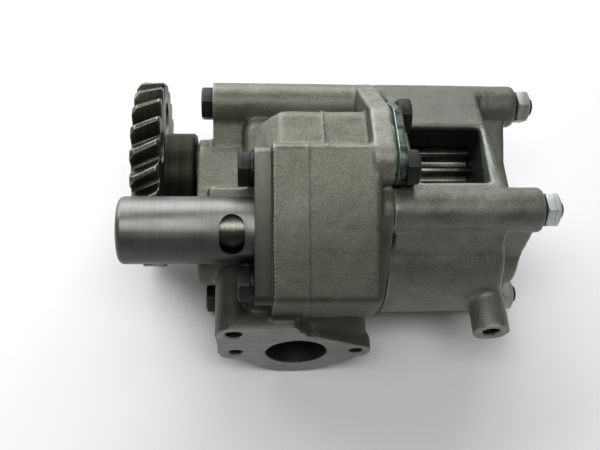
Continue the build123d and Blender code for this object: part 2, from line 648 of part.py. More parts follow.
front_bush = bush(BEARING_LEFT_X, PRESSURE_CAVITY_X)
front_bush.label = "front_bush"
export_step(front_bush, "parts/front_bush.step")

rear_bush = bush(SCAVENGE_CAVITY_X, SCAVENGE_BEARING_RIGHT_X - 8)
rear_bush.label = "rear_bush"
export_step(rear_bush, "parts/rear_bush.step")

with BuildPart() as idler_shaft:
    rod(IDLER, BEARING_LEFT_X + 8, SCAVENGE_BEARING_RIGHT_X - 8, IDLER_SHAFT_RADIUS)
    chamfer(idler_shaft.edges().filter_by(GeomType.CIRCLE), length=0.8)
idler_shaft.part.label = "idler_shaft"
export_step(idler_shaft.part, "parts/idler_shaft.step")


# ---------------------------------------------------------------- pump gears
def idler_gear(start, width):
    """A gear with a bushed bore that turns on the fixed idler shaft."""
    phase = 180.0 - GEAR_PHASE + 180.0 / GEAR_TEETH
    section = gear_section(start, IDLER, GEAR_MODULE, GEAR_TEETH, TOOTH_BACKLASH, phase)
    with BuildPart() as gear:
        extrude(section, amount=width)
        rod(IDLER, start, start + width, IDLER_SHAFT_RADIUS + BUSH_WALL, Mode.SUBTRACT)
    return gear.part


def idler_bush(start, width):
    """The bronze bush pressed into an idler gear."""
    with BuildPart() as ring:
        rod(IDLER, start, start + width, IDLER_SHAFT_RADIUS + BUSH_WALL)
        rod(IDLER, start, start + width, IDLER_SHAFT_RADIUS + RUNNING_CLEARANCE, Mode.SUBTRACT)
    return ring.part


def driving_gear(start, width):
    """A gear keyed to the drive shaft."""
    section = gear_section(start, MAIN, GEAR_MODULE, GEAR_TEETH, TOOTH_BACKLASH, GEAR_PHASE)
    with BuildPart() as gear:
        extrude(section, amount=width)
        rod(MAIN, start, start + width, DRIVE_SHAFT_RADIUS, Mode.SUBTRACT)
        key_slot(start, start + width, KEY_WIDTH)
    return gear.part


def key_slot(start, end, width):
    """Keyway on the upper side of the drive shaft's bore, cut outwards from the shaft."""
    with BuildSketch(Plane.YZ.offset(start)) as slot:
        with Locations((MAIN_Y, SHAFT_Z + DRIVE_SHAFT_RADIUS)):
            Rectangle(width, KEY_HEIGHT)
    extrude(slot.sketch, amount=end - start, mode=Mode.SUBTRACT)


def shaft_key(start, length):
    """A parallel key half sunk in the drive shaft."""
    with BuildPart() as key:
        with BuildSketch(Plane.YZ.offset(start)):
            with Locations((MAIN_Y, SHAFT_Z + DRIVE_SHAFT_RADIUS)):
                Rectangle(KEY_WIDTH, KEY_HEIGHT)
        extrude(amount=length)
    return key.part


pressure_drive_gear = driving_gear(PRESSURE_GEAR_X, PRESSURE_GEAR_WIDTH)
pressure_drive_gear.label = "pressure_drive_gear"
export_step(pressure_drive_gear, "parts/pressure_drive_gear.step")

scavenge_drive_gear = driving_gear(SCAVENGE_GEAR_X, SCAVENGE_GEAR_WIDTH)
scavenge_drive_gear.label = "scavenge_drive_gear"
export_step(scavenge_drive_gear, "parts/scavenge_drive_gear.step")

pressure_idler_gear = idler_gear(PRESSURE_GEAR_X, PRESSURE_GEAR_WIDTH)
pressure_idler_gear.label = "pressure_idler_gear"
export_step(pressure_idler_gear, "parts/pressure_idler_gear.step")

scavenge_idler_gear = idler_gear(SCAVENGE_GEAR_X, SCAVENGE_GEAR_WIDTH)
scavenge_idler_gear.label = "scavenge_idler_gear"
export_step(scavenge_idler_gear, "parts/scavenge_idler_gear.step")

pressure_idler_bush = idler_bush(PRESSURE_GEAR_X, PRESSURE_GEAR_WIDTH)
pressure_idler_bush.label = "pressure_idler_bush"
export_step(pressure_idler_bush, "parts/pressure_idler_bush.step")

scavenge_idler_bush = idler_bush(SCAVENGE_GEAR_X, SCAVENGE_GEAR_WIDTH)
scavenge_idler_bush.label = "scavenge_idler_bush"
export_step(scavenge_idler_bush, "parts/scavenge_idler_bush.step")


# ---------------------------------------------------------------- drive shaft and its keys
KEY_INSET = 4.0
KEY_SEATS = (
    (RETAINER_SEAT_X + KEY_INSET, HUB_RIGHT_X - RETAINER_SEAT_X - 2 * KEY_INSET),
    (PRESSURE_GEAR_X + KEY_INSET, PRESSURE_GEAR_WIDTH - 2 * KEY_INSET),
    (SCAVENGE_GEAR_X + KEY_INSET, SCAVENGE_GEAR_WIDTH - 2 * KEY_INSET),
)
SHAFT_LEFT_X = RETAINER_SEAT_X + 0.4
SHAFT_RIGHT_X = SCAVENGE_BEARING_RIGHT_X - 9

with BuildPart() as drive_shaft:
    rod(MAIN, SHAFT_LEFT_X, SHAFT_RIGHT_X, DRIVE_SHAFT_RADIUS)
    chamfer(drive_shaft.edges().filter_by(GeomType.CIRCLE), length=1.0)
    rod(MAIN, SHAFT_LEFT_X, SHAFT_LEFT_X + 26, BOLT_RADIUS, Mode.SUBTRACT)
    for seat_x, seat_length in KEY_SEATS:
        key_slot(seat_x, seat_x + seat_length, KEY_WIDTH)
drive_shaft.part.label = "drive_shaft"
export_step(drive_shaft.part, "parts/drive_shaft.step")

with BuildPart() as shaft_keys:
    for seat_x, seat_length in KEY_SEATS:
        add(shaft_key(seat_x, seat_length))
shaft_keys.part.label = "shaft_keys"
export_step(shaft_keys.part, "parts/shaft_keys.step")


# ---------------------------------------------------------------- helical drive gear
DRIVE_TWIST = math.degrees(DRIVE_WIDTH * math.tan(math.radians(DRIVE_HELIX)) / DRIVE_PITCH_RADIUS)
DRIVE_SLICES = 3
DRIVE_RIGHT_X = DRIVE_LEFT_X + DRIVE_WIDTH


def helical_points(phase):
    """Section of the drive gear: straight-sided teeth with the transverse pitch."""
    tip = DRIVE_TIP + 0.2
    root = DRIVE_PITCH_RADIUS - 1.25 * DRIVE_MODULE
    pitch_half = math.pi / (2 * DRIVE_TEETH) - DRIVE_BACKLASH / (2 * DRIVE_PITCH_RADIUS)
    slope = math.tan(math.radians(DRIVE_FLANK_ANGLE)) / DRIVE_PITCH_RADIUS
    points = []
    for tooth in range(DRIVE_TEETH):
        middle = math.radians(phase) + 2 * math.pi * tooth / DRIVE_TEETH
        side = []
        for radius in (root, DRIVE_PITCH_RADIUS, tip):
            bulge = 0.006 if radius == DRIVE_PITCH_RADIUS else 0.0
            side.append((radius, pitch_half - slope * (radius - DRIVE_PITCH_RADIUS) + bulge))
        for radius, half in side:
            points.append((radius * math.cos(middle - half), radius * math.sin(middle - half)))
        for radius, half in reversed(side):
            points.append((radius * math.cos(middle + half), radius * math.sin(middle + half)))
    return [(MAIN_Y + y, SHAFT_Z + z) for y, z in points]


with BuildPart() as drive_gear:
    for slice_number in range(DRIVE_SLICES):
        share = slice_number / (DRIVE_SLICES - 1)
        with BuildSketch(Plane.YZ.offset(DRIVE_LEFT_X + share * DRIVE_WIDTH)):
            with BuildLine():
                Polyline(helical_points(DRIVE_PHASE - share * DRIVE_TWIST), close=True)
            make_face()
    loft(ruled=True)
    # turned blank: both ends of the teeth are chamfered
    with BuildSketch(Plane.XY.offset(SHAFT_Z)):
        with BuildLine():
            Polyline(
                (DRIVE_LEFT_X, MAIN_Y),
                (DRIVE_LEFT_X, MAIN_Y + DRIVE_TIP - DRIVE_LEFT_CHAMFER),
                (DRIVE_LEFT_X + DRIVE_LEFT_CHAMFER, MAIN_Y + DRIVE_TIP),
                (DRIVE_RIGHT_X - DRIVE_RIGHT_CHAMFER, MAIN_Y + DRIVE_TIP),
                (DRIVE_RIGHT_X, MAIN_Y + DRIVE_TIP - DRIVE_RIGHT_CHAMFER),
                (DRIVE_RIGHT_X, MAIN_Y),
                close=True,
            )
        make_face()
    shaft_axis = Axis((0, MAIN_Y, SHAFT_Z), (1, 0, 0))
    revolve(axis=shaft_axis, mode=Mode.INTERSECT)
    rod(MAIN, DRIVE_RIGHT_X, HUB_RIGHT_X, HUB_RADIUS)
    chamfer(drive_gear.edges().group_by(Axis.X)[-1], length=1.4)
    rod(MAIN, DRIVE_LEFT_X, HUB_RIGHT_X, DRIVE_SHAFT_RADIUS, Mode.SUBTRACT)
    rod(MAIN, DRIVE_LEFT_X, RETAINER_SEAT_X, HUB_RECESS_RADIUS, Mode.SUBTRACT)
    key_slot(RETAINER_SEAT_X, HUB_RIGHT_X, KEY_WIDTH)
    with BuildSketch(Plane.YZ.offset(DRIVE_LEFT_X)):
        with Locations(MAIN):
            with PolarLocations(LIGHTENING_CIRCLE, LIGHTENING_COUNT, start_angle=DRIVE_PHASE):
                Circle(LIGHTENING_RADIUS)
    extrude(amount=DRIVE_WIDTH, mode=Mode.SUBTRACT)
drive_gear.part.label = "drive_gear"
export_step(drive_gear.part, "parts/drive_gear.step")

with BuildPart() as gear_retaining_washer:
    retainer_left_x = RETAINER_SEAT_X - RETAINER_THICKNESS
    rod(MAIN, retainer_left_x, RETAINER_SEAT_X, RETAINER_RADIUS)
    chamfer(gear_retaining_washer.edges().group_by(Axis.X)[0], length=0.8)
    rod(MAIN, retainer_left_x, RETAINER_SEAT_X, BOLT_HOLE_RADIUS, Mode.SUBTRACT)
gear_retaining_washer.part.label = "gear_retaining_washer"
export_step(gear_retaining_washer.part, "parts/gear_retaining_washer.step")

with BuildPart() as gear_retaining_bolt:
    with Locations((retainer_left_x, MAIN[0], MAIN[1])):
        add(hex_screw(24))
gear_retaining_bolt.part.label = "gear_retaining_bolt"
export_step(gear_retaining_bolt.part, "parts/gear_retaining_bolt.step")

with BuildPart() as thrust_washer:
    rod(MAIN, HUB_RIGHT_X, BEARING_LEFT_X - SIDE_CLEARANCE, THRUST_RADIUS)
    rod(MAIN, HUB_RIGHT_X, BEARING_LEFT_X, DRIVE_SHAFT_RADIUS, Mode.SUBTRACT)
thrust_washer.part.label = "thrust_washer"
export_step(thrust_washer.part, "parts/thrust_washer.step")


# ---------------------------------------------------------------- bolts, nuts and washers
def nut(at, start):
    """A plain hexagon nut on an M10 thread, its left face at start."""
    corner = HEX_FLATS / math.sqrt(3)
    with BuildPart() as blank:
        with BuildSketch(Plane.YZ.offset(start)):
            with Locations(at):
                RegularPolygon(HEX_FLATS / 2, 6, major_radius=False)
        extrude(amount=NUT_HEIGHT)
        with BuildSketch(Plane.XY.offset(at[1])):
            with BuildLine():
                Polyline(
                    (start, at[0]),
                    (start, at[0] + HEX_FLATS / 2 * 0.97),
                    (start + 1.2, at[0] + corner + 0.2),
                    (start + NUT_HEIGHT - 1.2, at[0] + corner + 0.2),
                    (start + NUT_HEIGHT, at[0] + HEX_FLATS / 2 * 0.97),
                    (start + NUT_HEIGHT, at[0]),
                    close=True,
                )
            make_face()
        axis = Axis((start, at[0], at[1]), (1, 0, 0))
        revolve(axis=axis, mode=Mode.INTERSECT)
        rod(at, start, start + NUT_HEIGHT, BOLT_RADIUS, Mode.SUBTRACT)
    return blank.part


def washer(at, start, thickness):
    """A plain washer on an M10 thread, its left face at start."""
    with BuildPart() as ring:
        rod(at, start, start + thickness, WASHER_RADIUS)
        rod(at, start, start + thickness, BOLT_HOLE_RADIUS, Mode.SUBTRACT)
    return ring.part


THROUGH_BOLTS = (
    (TOP_BOLT, TOP_BOSS_LEFT_X, TOP_BOSS_RIGHT_X),
    (BACK_BOLT, TOP_BOSS_LEFT_X, BACK_BOSS_RIGHT_X),
    (BOTTOM_BOLT, BOTTOM_BOSS_LEFT_X, BOTTOM_BOSS_RIGHT_X),
)

with BuildPart() as through_bolts:
    for at, left, right in THROUGH_BOLTS:
        length = right + WASHER_THICKNESS + NUT_HEIGHT + THREAD_STICKOUT - left
        with Locations((left, at[0], at[1])):
            add(hex_screw(length))
through_bolts.part.label = "through_bolts"
export_step(through_bolts.part, "parts/through_bolts.step")

with BuildPart() as through_nuts:
    for at, left, right in THROUGH_BOLTS:
        add(nut(at, right + WASHER_THICKNESS))
through_nuts.part.label = "through_nuts"
export_step(through_nuts.part, "parts/through_nuts.step")

with BuildPart() as nut_washers:
    for at, left, right in THROUGH_BOLTS:
        add(washer(at, right, WASHER_THICKNESS))
    add(washer(NEAR_STUD, NEAR_BOSS_RIGHT_X, WASHER_THICKNESS))
nut_washers.part.label = "nut_washers"
export_step(nut_washers.part, "parts/nut_washers.step")

with BuildPart() as near_stud:
    stud_end = NEAR_BOSS_RIGHT_X + WASHER_THICKNESS + NUT_HEIGHT + THREAD_STICKOUT
    rod(NEAR_STUD, STUD_ROOT_X + 1, stud_end, BOLT_RADIUS)
    chamfer(near_stud.edges().filter_by(GeomType.CIRCLE), length=0.8)
near_stud.part.label = "near_stud"
export_step(near_stud.part, "parts/near_stud.step")

stud_nut = nut(NEAR_STUD, NEAR_BOSS_RIGHT_X + WASHER_THICKNESS)
stud_nut.label = "stud_nut"
export_step(stud_nut, "parts/stud_nut.step")


# ---------------------------------------------------------------- valve plate, gasket and screws
def plate_outline(x):
    """The plate's outline across X, on the leaning valve axes."""
    with BuildSketch(valve_plane(x)) as outline:
        with Locations(((PLATE_LOW + PLATE_HIGH) / 2, (PLATE_BACK + BOX_FRONT) / 2)):
            RectangleRounded(PLATE_HIGH - PLATE_LOW, BOX_FRONT - PLATE_BACK, 5)
    return outline.sketch


with BuildPart() as valve_gasket:
    extrude(plate_outline(PLATE_RIGHT_X), amount=GASKET_THICKNESS)
    rod((VALVE_Y, VALVE_Z), PLATE_RIGHT_X, BOX_LEFT_X, TUBE_BORE - LIP_WIDTH, Mode.SUBTRACT)
    for along in PLATE_SCREWS_ALONG:
        rod(valve_point(along, 0), PLATE_RIGHT_X, BOX_LEFT_X, BOLT_RADIUS, Mode.SUBTRACT)
valve_gasket.part.label = "valve_gasket"
export_step(valve_gasket.part, "parts/valve_gasket.step")

with BuildPart() as valve_plate:
    extrude(plate_outline(PLATE_LEFT_X), amount=PLATE_THICKNESS)
    rod((VALVE_Y, VALVE_Z), PLATE_LEFT_X, TUBE_RIGHT_X, TUBE_RADIUS, Mode.SUBTRACT)
    rod((VALVE_Y, VALVE_Z), PLATE_LEFT_X, PLATE_RIGHT_X, TUBE_BORE - LIP_WIDTH, Mode.SUBTRACT)
    for along in PLATE_SCREWS_ALONG:
        rod(valve_point(along, 0), PLATE_LEFT_X, PLATE_RIGHT_X, BOLT_RADIUS, Mode.SUBTRACT)
valve_plate.part.label = "valve_plate"
export_step(valve_plate.part, "parts/valve_plate.step")

PLATE_SCREWS = [valve_point(along, 0) for along in PLATE_SCREWS_ALONG]
PLATE_WASHER_THICKNESS = 1.8

with BuildPart() as plate_screws:
    for at in PLATE_SCREWS:
        with Locations((PLATE_LEFT_X - PLATE_WASHER_THICKNESS, at[0], at[1])):
            add(hex_screw(PLATE_THICKNESS + PLATE_WASHER_THICKNESS + 10))
plate_screws.part.label = "plate_screws"
export_step(plate_screws.part, "parts/plate_screws.step")

with BuildPart() as plate_washers:
    for at in PLATE_SCREWS:
        add(washer(at, PLATE_LEFT_X - PLATE_WASHER_THICKNESS, PLATE_WASHER_THICKNESS))
plate_washers.part.label = "plate_washers"
export_step(plate_washers.part, "parts/plate_washers.step")


# ---------------------------------------------------------------- relief valve
with BuildPart() as relief_valve_tube:
    rod((VALVE_Y, VALVE_Z), TUBE_LEFT_X, TUBE_RIGHT_X, TUBE_RADIUS)
    fillet(relief_valve_tube.edges().group_by(Axis.X)[0], radius=3)
    rod((VALVE_Y, VALVE_Z), TUBE_LEFT_X + TUBE_END_THICKNESS, TUBE_RIGHT_X, TUBE_BORE, Mode.SUBTRACT)
    slot_turn = math.radians(SLOT_TURN)
    slot_out = (0, -math.sin(slot_turn), math.cos(slot_turn))
    slot_plane = Plane(origin=(SLOT_X, VALVE_Y, VALVE_Z), x_dir=(1, 0, 0), z_dir=slot_out)
    with BuildSketch(slot_plane):
        SlotOverall(SLOT_LENGTH, SLOT_WIDTH, rotation=90)
    extrude(amount=TUBE_RADIUS + 2, mode=Mode.SUBTRACT)
relief_valve_tube.part.label = "relief_valve_tube"
export_step(relief_valve_tube.part, "parts/relief_valve_tube.step")

PLUNGER_RIGHT_X = TUBE_RIGHT_X - SIDE_CLEARANCE
PLUNGER_LEFT_X = PLUNGER_RIGHT_X - PLUNGER_LENGTH
PLUNGER_FLOOR = 5.0

with BuildPart() as relief_valve_plunger:
    rod((VALVE_Y, VALVE_Z), PLUNGER_LEFT_X, PLUNGER_RIGHT_X, TUBE_BORE - RUNNING_CLEARANCE)
    chamfer(relief_valve_plunger.edges().filter_by(GeomType.CIRCLE), length=0.7)
    cup_end = PLUNGER_RIGHT_X - PLUNGER_FLOOR
    rod((VALVE_Y, VALVE_Z), PLUNGER_LEFT_X, cup_end, TUBE_BORE - PLUNGER_WALL, Mode.SUBTRACT)
relief_valve_plunger.part.label = "relief_valve_plunger"
export_step(relief_valve_plunger.part, "parts/relief_valve_plunger.step")

SPRING_LEFT_X = TUBE_LEFT_X + TUBE_END_THICKNESS
SPRING_RIGHT_X = PLUNGER_RIGHT_X - PLUNGER_FLOOR
SPRING_SPAN = SPRING_RIGHT_X - SPRING_LEFT_X - 2 * SPRING_WIRE

with BuildPart() as relief_valve_spring:
    pitch = SPRING_SPAN / SPRING_COILS
    coil_base = (SPRING_LEFT_X + SPRING_WIRE, VALVE_Y, VALVE_Z)
    with BuildLine() as coil:
        Helix(pitch, SPRING_SPAN, SPRING_RADIUS, center=coil_base, direction=(1, 0, 0))
    with BuildSketch(Plane(coil.line @ 0, z_dir=coil.line % 0)):
        RegularPolygon(SPRING_WIRE / 2, 6)
    sweep(path=coil.line, is_frenet=True)
    for end in (SPRING_LEFT_X, SPRING_RIGHT_X - SPRING_WIRE):
        rod((VALVE_Y, VALVE_Z), end, end + SPRING_WIRE, SPRING_RADIUS + SPRING_WIRE / 2)
        rod((VALVE_Y, VALVE_Z), end, end + SPRING_WIRE, SPRING_RADIUS - SPRING_WIRE / 2, Mode.SUBTRACT)
relief_valve_spring.part.label = "relief_valve_spring"
export_step(relief_valve_spring.part, "parts/relief_valve_spring.step")


# ---------------------------------------------------------------- gallery cover and its gasket
COVER_ROUNDS = GALLERY_CORNERS + (
    ((MESH_Y + 25, CASE_TOP_Z + 15.0), 10.0),
    ((MESH_Y - 5, CASE_TOP_Z + 12.0), 8.0),
)

with BuildPart() as gallery_gasket:
    web(COVER_ROUNDS, JOINT_X, COVER_LEFT_X)
    web(GALLERY_BORE, JOINT_X, COVER_LEFT_X, Mode.SUBTRACT)
    for at in COVER_SCREWS:
        rod(at, JOINT_X, COVER_LEFT_X, BOLT_RADIUS, Mode.SUBTRACT)
gallery_gasket.part.label = "gallery_gasket"
export_step(gallery_gasket.part, "parts/gallery_gasket.step")

with BuildPart() as gallery_cover:
    web(COVER_ROUNDS, COVER_LEFT_X, COVER_RIGHT_X)
    for at in COVER_SCREWS:
        rod(at, COVER_LEFT_X, COVER_RIGHT_X, BOLT_RADIUS, Mode.SUBTRACT)
gallery_cover.part.label = "gallery_cover"
export_step(gallery_cover.part, "parts/gallery_cover.step")

with BuildPart() as cover_screws:
    for at in COVER_SCREWS:
        screw = hex_screw(COVER_THICKNESS + COVER_GASKET_THICKNESS + COVER_SCREW_LENGTH - 1)
        with Locations(Location((COVER_RIGHT_X, at[0], at[1]), (0, 0, 180))):
            add(screw)
cover_screws.part.label = "cover_screws"
export_step(cover_screws.part, "parts/cover_screws.step")
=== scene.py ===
"""Looks of the engine oil pump: finishes, cast skins, fastener details, floor, light, camera.

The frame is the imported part's: +X along the shafts, the mounting face looks along -Y, +Z is up.
Blender gets metres. Names that end in _mm, the shaft and bolt centres, and the tables of bores,
flats, seams, tapers, drillings, pockets and rims are in millimetres.
"""

import math

import bpy
import numpy as np
from mathutils import Matrix, Vector


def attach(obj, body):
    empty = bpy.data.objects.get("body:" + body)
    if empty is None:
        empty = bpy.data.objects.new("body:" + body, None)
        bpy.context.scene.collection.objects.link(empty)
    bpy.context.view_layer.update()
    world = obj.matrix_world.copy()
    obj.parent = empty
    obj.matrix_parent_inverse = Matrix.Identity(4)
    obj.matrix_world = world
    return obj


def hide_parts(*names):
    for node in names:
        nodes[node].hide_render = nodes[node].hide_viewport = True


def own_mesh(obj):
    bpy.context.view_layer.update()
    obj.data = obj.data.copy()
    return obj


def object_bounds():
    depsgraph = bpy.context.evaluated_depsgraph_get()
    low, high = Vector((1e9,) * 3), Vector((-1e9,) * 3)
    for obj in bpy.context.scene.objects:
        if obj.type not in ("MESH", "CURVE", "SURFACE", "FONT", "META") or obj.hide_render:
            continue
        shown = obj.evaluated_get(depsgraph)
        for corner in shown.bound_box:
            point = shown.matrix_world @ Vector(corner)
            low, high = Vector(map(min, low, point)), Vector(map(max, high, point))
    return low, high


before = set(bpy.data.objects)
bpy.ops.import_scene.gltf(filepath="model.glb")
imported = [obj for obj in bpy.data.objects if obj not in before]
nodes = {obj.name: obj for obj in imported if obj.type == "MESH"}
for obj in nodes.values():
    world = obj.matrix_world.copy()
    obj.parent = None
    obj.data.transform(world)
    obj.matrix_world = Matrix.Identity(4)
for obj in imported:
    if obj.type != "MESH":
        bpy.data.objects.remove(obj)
cad_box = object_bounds()


# ---------------------------------------------------------------- helpers
def colour(hex_text):
    """A linear RGBA colour from an sRGB hex value."""
    parts = [int(hex_text[i : i + 2], 16) / 255 for i in (1, 3, 5)]
    linear = [p / 12.92 if p <= 0.04045 else ((p + 0.055) / 1.055) ** 2.4 for p in parts]
    return (*linear, 1.0)


def node(tree, kind, links=None, stops=(), **settings):
    """Adds a shader node: settings are its own properties, links its inputs' values or sources,
    and stops a colour ramp's (position, hex) pairs."""
    made = tree.nodes.new(kind)
    for name, value in settings.items():
        setattr(made, name, value)
    for name, value in (links or {}).items():
        if isinstance(value, bpy.types.NodeSocket):
            tree.links.new(value, made.inputs[name])
        else:
            made.inputs[name].default_value = value
    for place, (position, hex_text) in enumerate(stops):
        if place >= len(made.color_ramp.elements):
            made.color_ramp.elements.new(position)
        made.color_ramp.elements[place].position = position
        made.color_ramp.elements[place].color = colour(hex_text)
    return made


def new_finish(name, roughness, metallic):
    """An empty finish: its material, node tree, shader and the piece's own coordinates."""
    made = bpy.data.materials.new(name)
    made.use_nodes = True
    tree = made.node_tree
    shader = tree.nodes["Principled BSDF"]
    shader.inputs["Metallic"].default_value = metallic
    shader.inputs["Roughness"].default_value = roughness
    place = node(tree, "ShaderNodeTexCoord").outputs["Object"]
    return made, tree, shader, place


def select_only(piece):
    """Makes one object the only selected and the active one."""
    bpy.ops.object.select_all(action="DESELECT")
    piece.select_set(True)
    bpy.context.view_layer.objects.active = piece


def apply_modifier(piece, kind, **settings):
    """Adds a modifier with its settings and applies it."""
    made = piece.modifiers.new(kind.lower(), kind)
    for name, value in settings.items():
        setattr(made, name, value)
    select_only(piece)
    bpy.ops.object.modifier_apply(modifier=made.name)


def merged_copy(source_name, name):
    """A copy of a CAD node's mesh, its loose triangles merged, as an object of its own."""
    piece = bpy.data.objects.new(name, nodes[source_name].data.copy())
    bpy.context.collection.objects.link(piece)
    select_only(piece)
    bpy.ops.object.mode_set(mode="EDIT")
    bpy.ops.mesh.select_all(action="SELECT")
    bpy.ops.mesh.remove_doubles(threshold=1e-6)
    bpy.ops.object.mode_set(mode="OBJECT")
    return piece


# ---------------------------------------------------------------- finishes
def blasted_cast_iron(name, dark, mid, light, rubbed, low_mm, high_mm, oil_and_shade_depth):
    """Grey cast iron, sand cast, shot blasted and oiled. The eye gets a peened grain about
    0.5 mm across, lubricant stains about 25 mm wide, small dark pits, rubbed edges, painted
    shade in concave corners, and painted shade laid along Y, none at high_mm from the mounting
    face and deepest at low_mm."""
    made, tree, shader, place = new_finish(name, 0.5, 0.6)
    stain = node(
        tree,
        "ShaderNodeTexNoise",
        {"Vector": place, "Scale": 38.0, "Detail": 5.0, "Roughness": 0.62},
    ).outputs["Fac"]
    body = node(
        tree,
        "ShaderNodeValToRGB",
        {"Fac": stain},
        stops=((0.30, dark), (0.50, mid), (0.70, light)),
    ).outputs["Color"]
    grain = node(
        tree,
        "ShaderNodeTexNoise",
        {"Vector": place, "Scale": 1900.0, "Detail": 2.0, "Roughness": 0.6},
    ).outputs["Fac"]
    speck = node(
        tree,
        "ShaderNodeValToRGB",
        {"Fac": grain},
        stops=((0.30, "#8c8c8c"), (0.52, "#c8c8c8"), (0.70, "#ffffff")),
    ).outputs["Color"]
    grained = node(
        tree,
        "ShaderNodeMix",
        {"Factor": 0.75, 6: body, 7: speck},
        data_type="RGBA",
        blend_type="MULTIPLY",
    ).outputs[2]
    pits = node(
        tree, "ShaderNodeTexVoronoi", {"Vector": place, "Scale": 330.0}
    ).outputs["Distance"]
    pit_mask = node(
        tree,
        "ShaderNodeMapRange",
        {"Value": pits, "From Min": 0.08, "From Max": 0.18, "To Min": 0.4, "To Max": 0.0},
    ).outputs["Result"]
    pitted = node(
        tree,
        "ShaderNodeMix",
        {"Factor": pit_mask, 6: grained, 7: colour("#2b2c26")},
        data_type="RGBA",
    ).outputs[2]
    parts = node(tree, "ShaderNodeSeparateXYZ", {"Vector": place})
    # Painted shade: laid along Y from the mounting face, its edge wobbled by the stains.
    height = node(
        tree,
        "ShaderNodeMath",
        {0: stain, 1: 0.03, 2: parts.outputs["Y"]},
        operation="MULTIPLY_ADD",
    ).outputs[0]
    painted_shade = node(
        tree,
        "ShaderNodeMapRange",
        {
            "Value": height,
            "From Min": 0.015 + low_mm / 1000,
            "From Max": 0.015 + high_mm / 1000,
            "To Min": oil_and_shade_depth,
            "To Max": 0.0,
        },
        interpolation_type="SMOOTHSTEP",
    ).outputs["Result"]
    shape = node(tree, "ShaderNodeNewGeometry").outputs["Pointiness"]
    edge = node(
        tree,
        "ShaderNodeMapRange",
        {"Value": shape, "From Min": 0.51, "From Max": 0.56, "To Min": 0.0, "To Max": 0.45},
    ).outputs["Result"]
    # Painted shade: concave corners, where pointiness is low, darkened as occlusion would darken
    # them.
    corner = node(
        tree,
        "ShaderNodeMapRange",
        {"Value": shape, "From Min": 0.44, "From Max": 0.488, "To Min": 0.6, "To Max": 0.0},
    ).outputs["Result"]
    worn = node(
        tree,
        "ShaderNodeMix",
        {"Factor": edge, 6: pitted, 7: colour(rubbed)},
        data_type="RGBA",
    ).outputs[2]
    # The painted shade is a near-black olive mixed over the surface.
    with_painted_shade = node(
        tree,
        "ShaderNodeMix",
        {"Factor": painted_shade, 6: worn, 7: colour("#2c2d26")},
        data_type="RGBA",
    ).outputs[2]
    with_corner_shade = node(
        tree,
        "ShaderNodeMix",
        {"Factor": corner, 6: with_painted_shade, 7: colour("#1f201b")},
        data_type="RGBA",
    ).outputs[2]
    tree.links.new(with_corner_shade, shader.inputs["Base Color"])
    rough = node(
        tree,
        "ShaderNodeMapRange",
        {"Value": stain, "From Min": 0.3, "From Max": 0.7, "To Min": 0.36, "To Max": 0.52},
    ).outputs["Result"]
    tree.links.new(rough, shader.inputs["Roughness"])
    skin = node(
        tree,
        "ShaderNodeTexNoise",
        {"Vector": place, "Scale": 210.0, "Detail": 2.0},
    ).outputs["Fac"]
    low = node(
        tree, "ShaderNodeBump", {"Height": skin, "Strength": 0.35, "Distance": 0.0005}
    ).outputs["Normal"]
    fine = node(
        tree,
        "ShaderNodeBump",
        {"Height": grain, "Normal": low, "Strength": 0.5, "Distance": 0.0003},
    ).outputs["Normal"]
    tree.links.new(fine, shader.inputs["Normal"])
    return made


def machined_steel(
    name,
    dark,
    light,
    roughness,
    line_mm,
    axis=0,
    bump=0.1,
    metallic=1.0,
    oil_and_shade_depth=0.35,
    painted_shade=(0.0, 1.0, 0.0),
):
    """Machined metal: fine tool lines about line_mm apart across one axis, an uneven lubricant
    film that darkens it in clouds about 15 mm wide, and painted shade along Y, given by where
    along Y it is deepest and gone, in mm, and its depth."""
    made, tree, shader, place = new_finish(name, roughness, metallic)
    stretch = [6.0, 6.0, 6.0]
    stretch[axis] = 1000.0 / line_mm
    lines = node(
        tree, "ShaderNodeMapping", {"Vector": place, "Scale": stretch}
    ).outputs["Vector"]
    tool = node(
        tree, "ShaderNodeTexNoise", {"Vector": lines, "Scale": 1.0, "Detail": 2.0}
    ).outputs["Fac"]
    body = node(
        tree, "ShaderNodeValToRGB", {"Fac": tool}, stops=((0.35, dark), (0.65, light))
    ).outputs["Color"]
    cloud = node(
        tree,
        "ShaderNodeTexNoise",
        {"Vector": place, "Scale": 65.0, "Detail": 5.0, "Roughness": 0.65},
    ).outputs["Fac"]
    film = node(
        tree,
        "ShaderNodeMapRange",
        {"Value": cloud, "From Min": 0.42, "From Max": 0.68, "To Min": 0.0, "To Max": oil_and_shade_depth},
    ).outputs["Result"]
    oiled = node(
        tree,
        "ShaderNodeMix",
        {"Factor": film, 6: body, 7: colour("#1d1d19")},
        data_type="RGBA",
    ).outputs[2]
    parts = node(tree, "ShaderNodeSeparateXYZ", {"Vector": place})
    # Painted shade: darker along Y towards the first given place, in a near-black olive.
    depth = node(
        tree,
        "ShaderNodeMapRange",
        {
            "Value": parts.outputs["Y"],
            "From Min": painted_shade[0] / 1000,
            "From Max": painted_shade[1] / 1000,
            "To Min": painted_shade[2],
            "To Max": 0.0,
        },
        interpolation_type="SMOOTHSTEP",
    ).outputs["Result"]
    with_painted_shade = node(
        tree,
        "ShaderNodeMix",
        {"Factor": depth, 6: oiled, 7: colour("#20211c")},
        data_type="RGBA",
    ).outputs[2]
    tree.links.new(with_painted_shade, shader.inputs["Base Color"])
    rough = node(
        tree,
        "ShaderNodeMapRange",
        {
            "Value": cloud,
            "From Min": 0.35,
            "From Max": 0.65,
            "To Min": roughness + 0.06,
            "To Max": roughness - 0.05,
        },
    ).outputs["Result"]
    tree.links.new(rough, shader.inputs["Roughness"])
    normal = node(
        tree, "ShaderNodeBump", {"Height": tool, "Strength": bump, "Distance": 0.0002}
    ).outputs["Normal"]
    tree.links.new(normal, shader.inputs["Normal"])
    return made


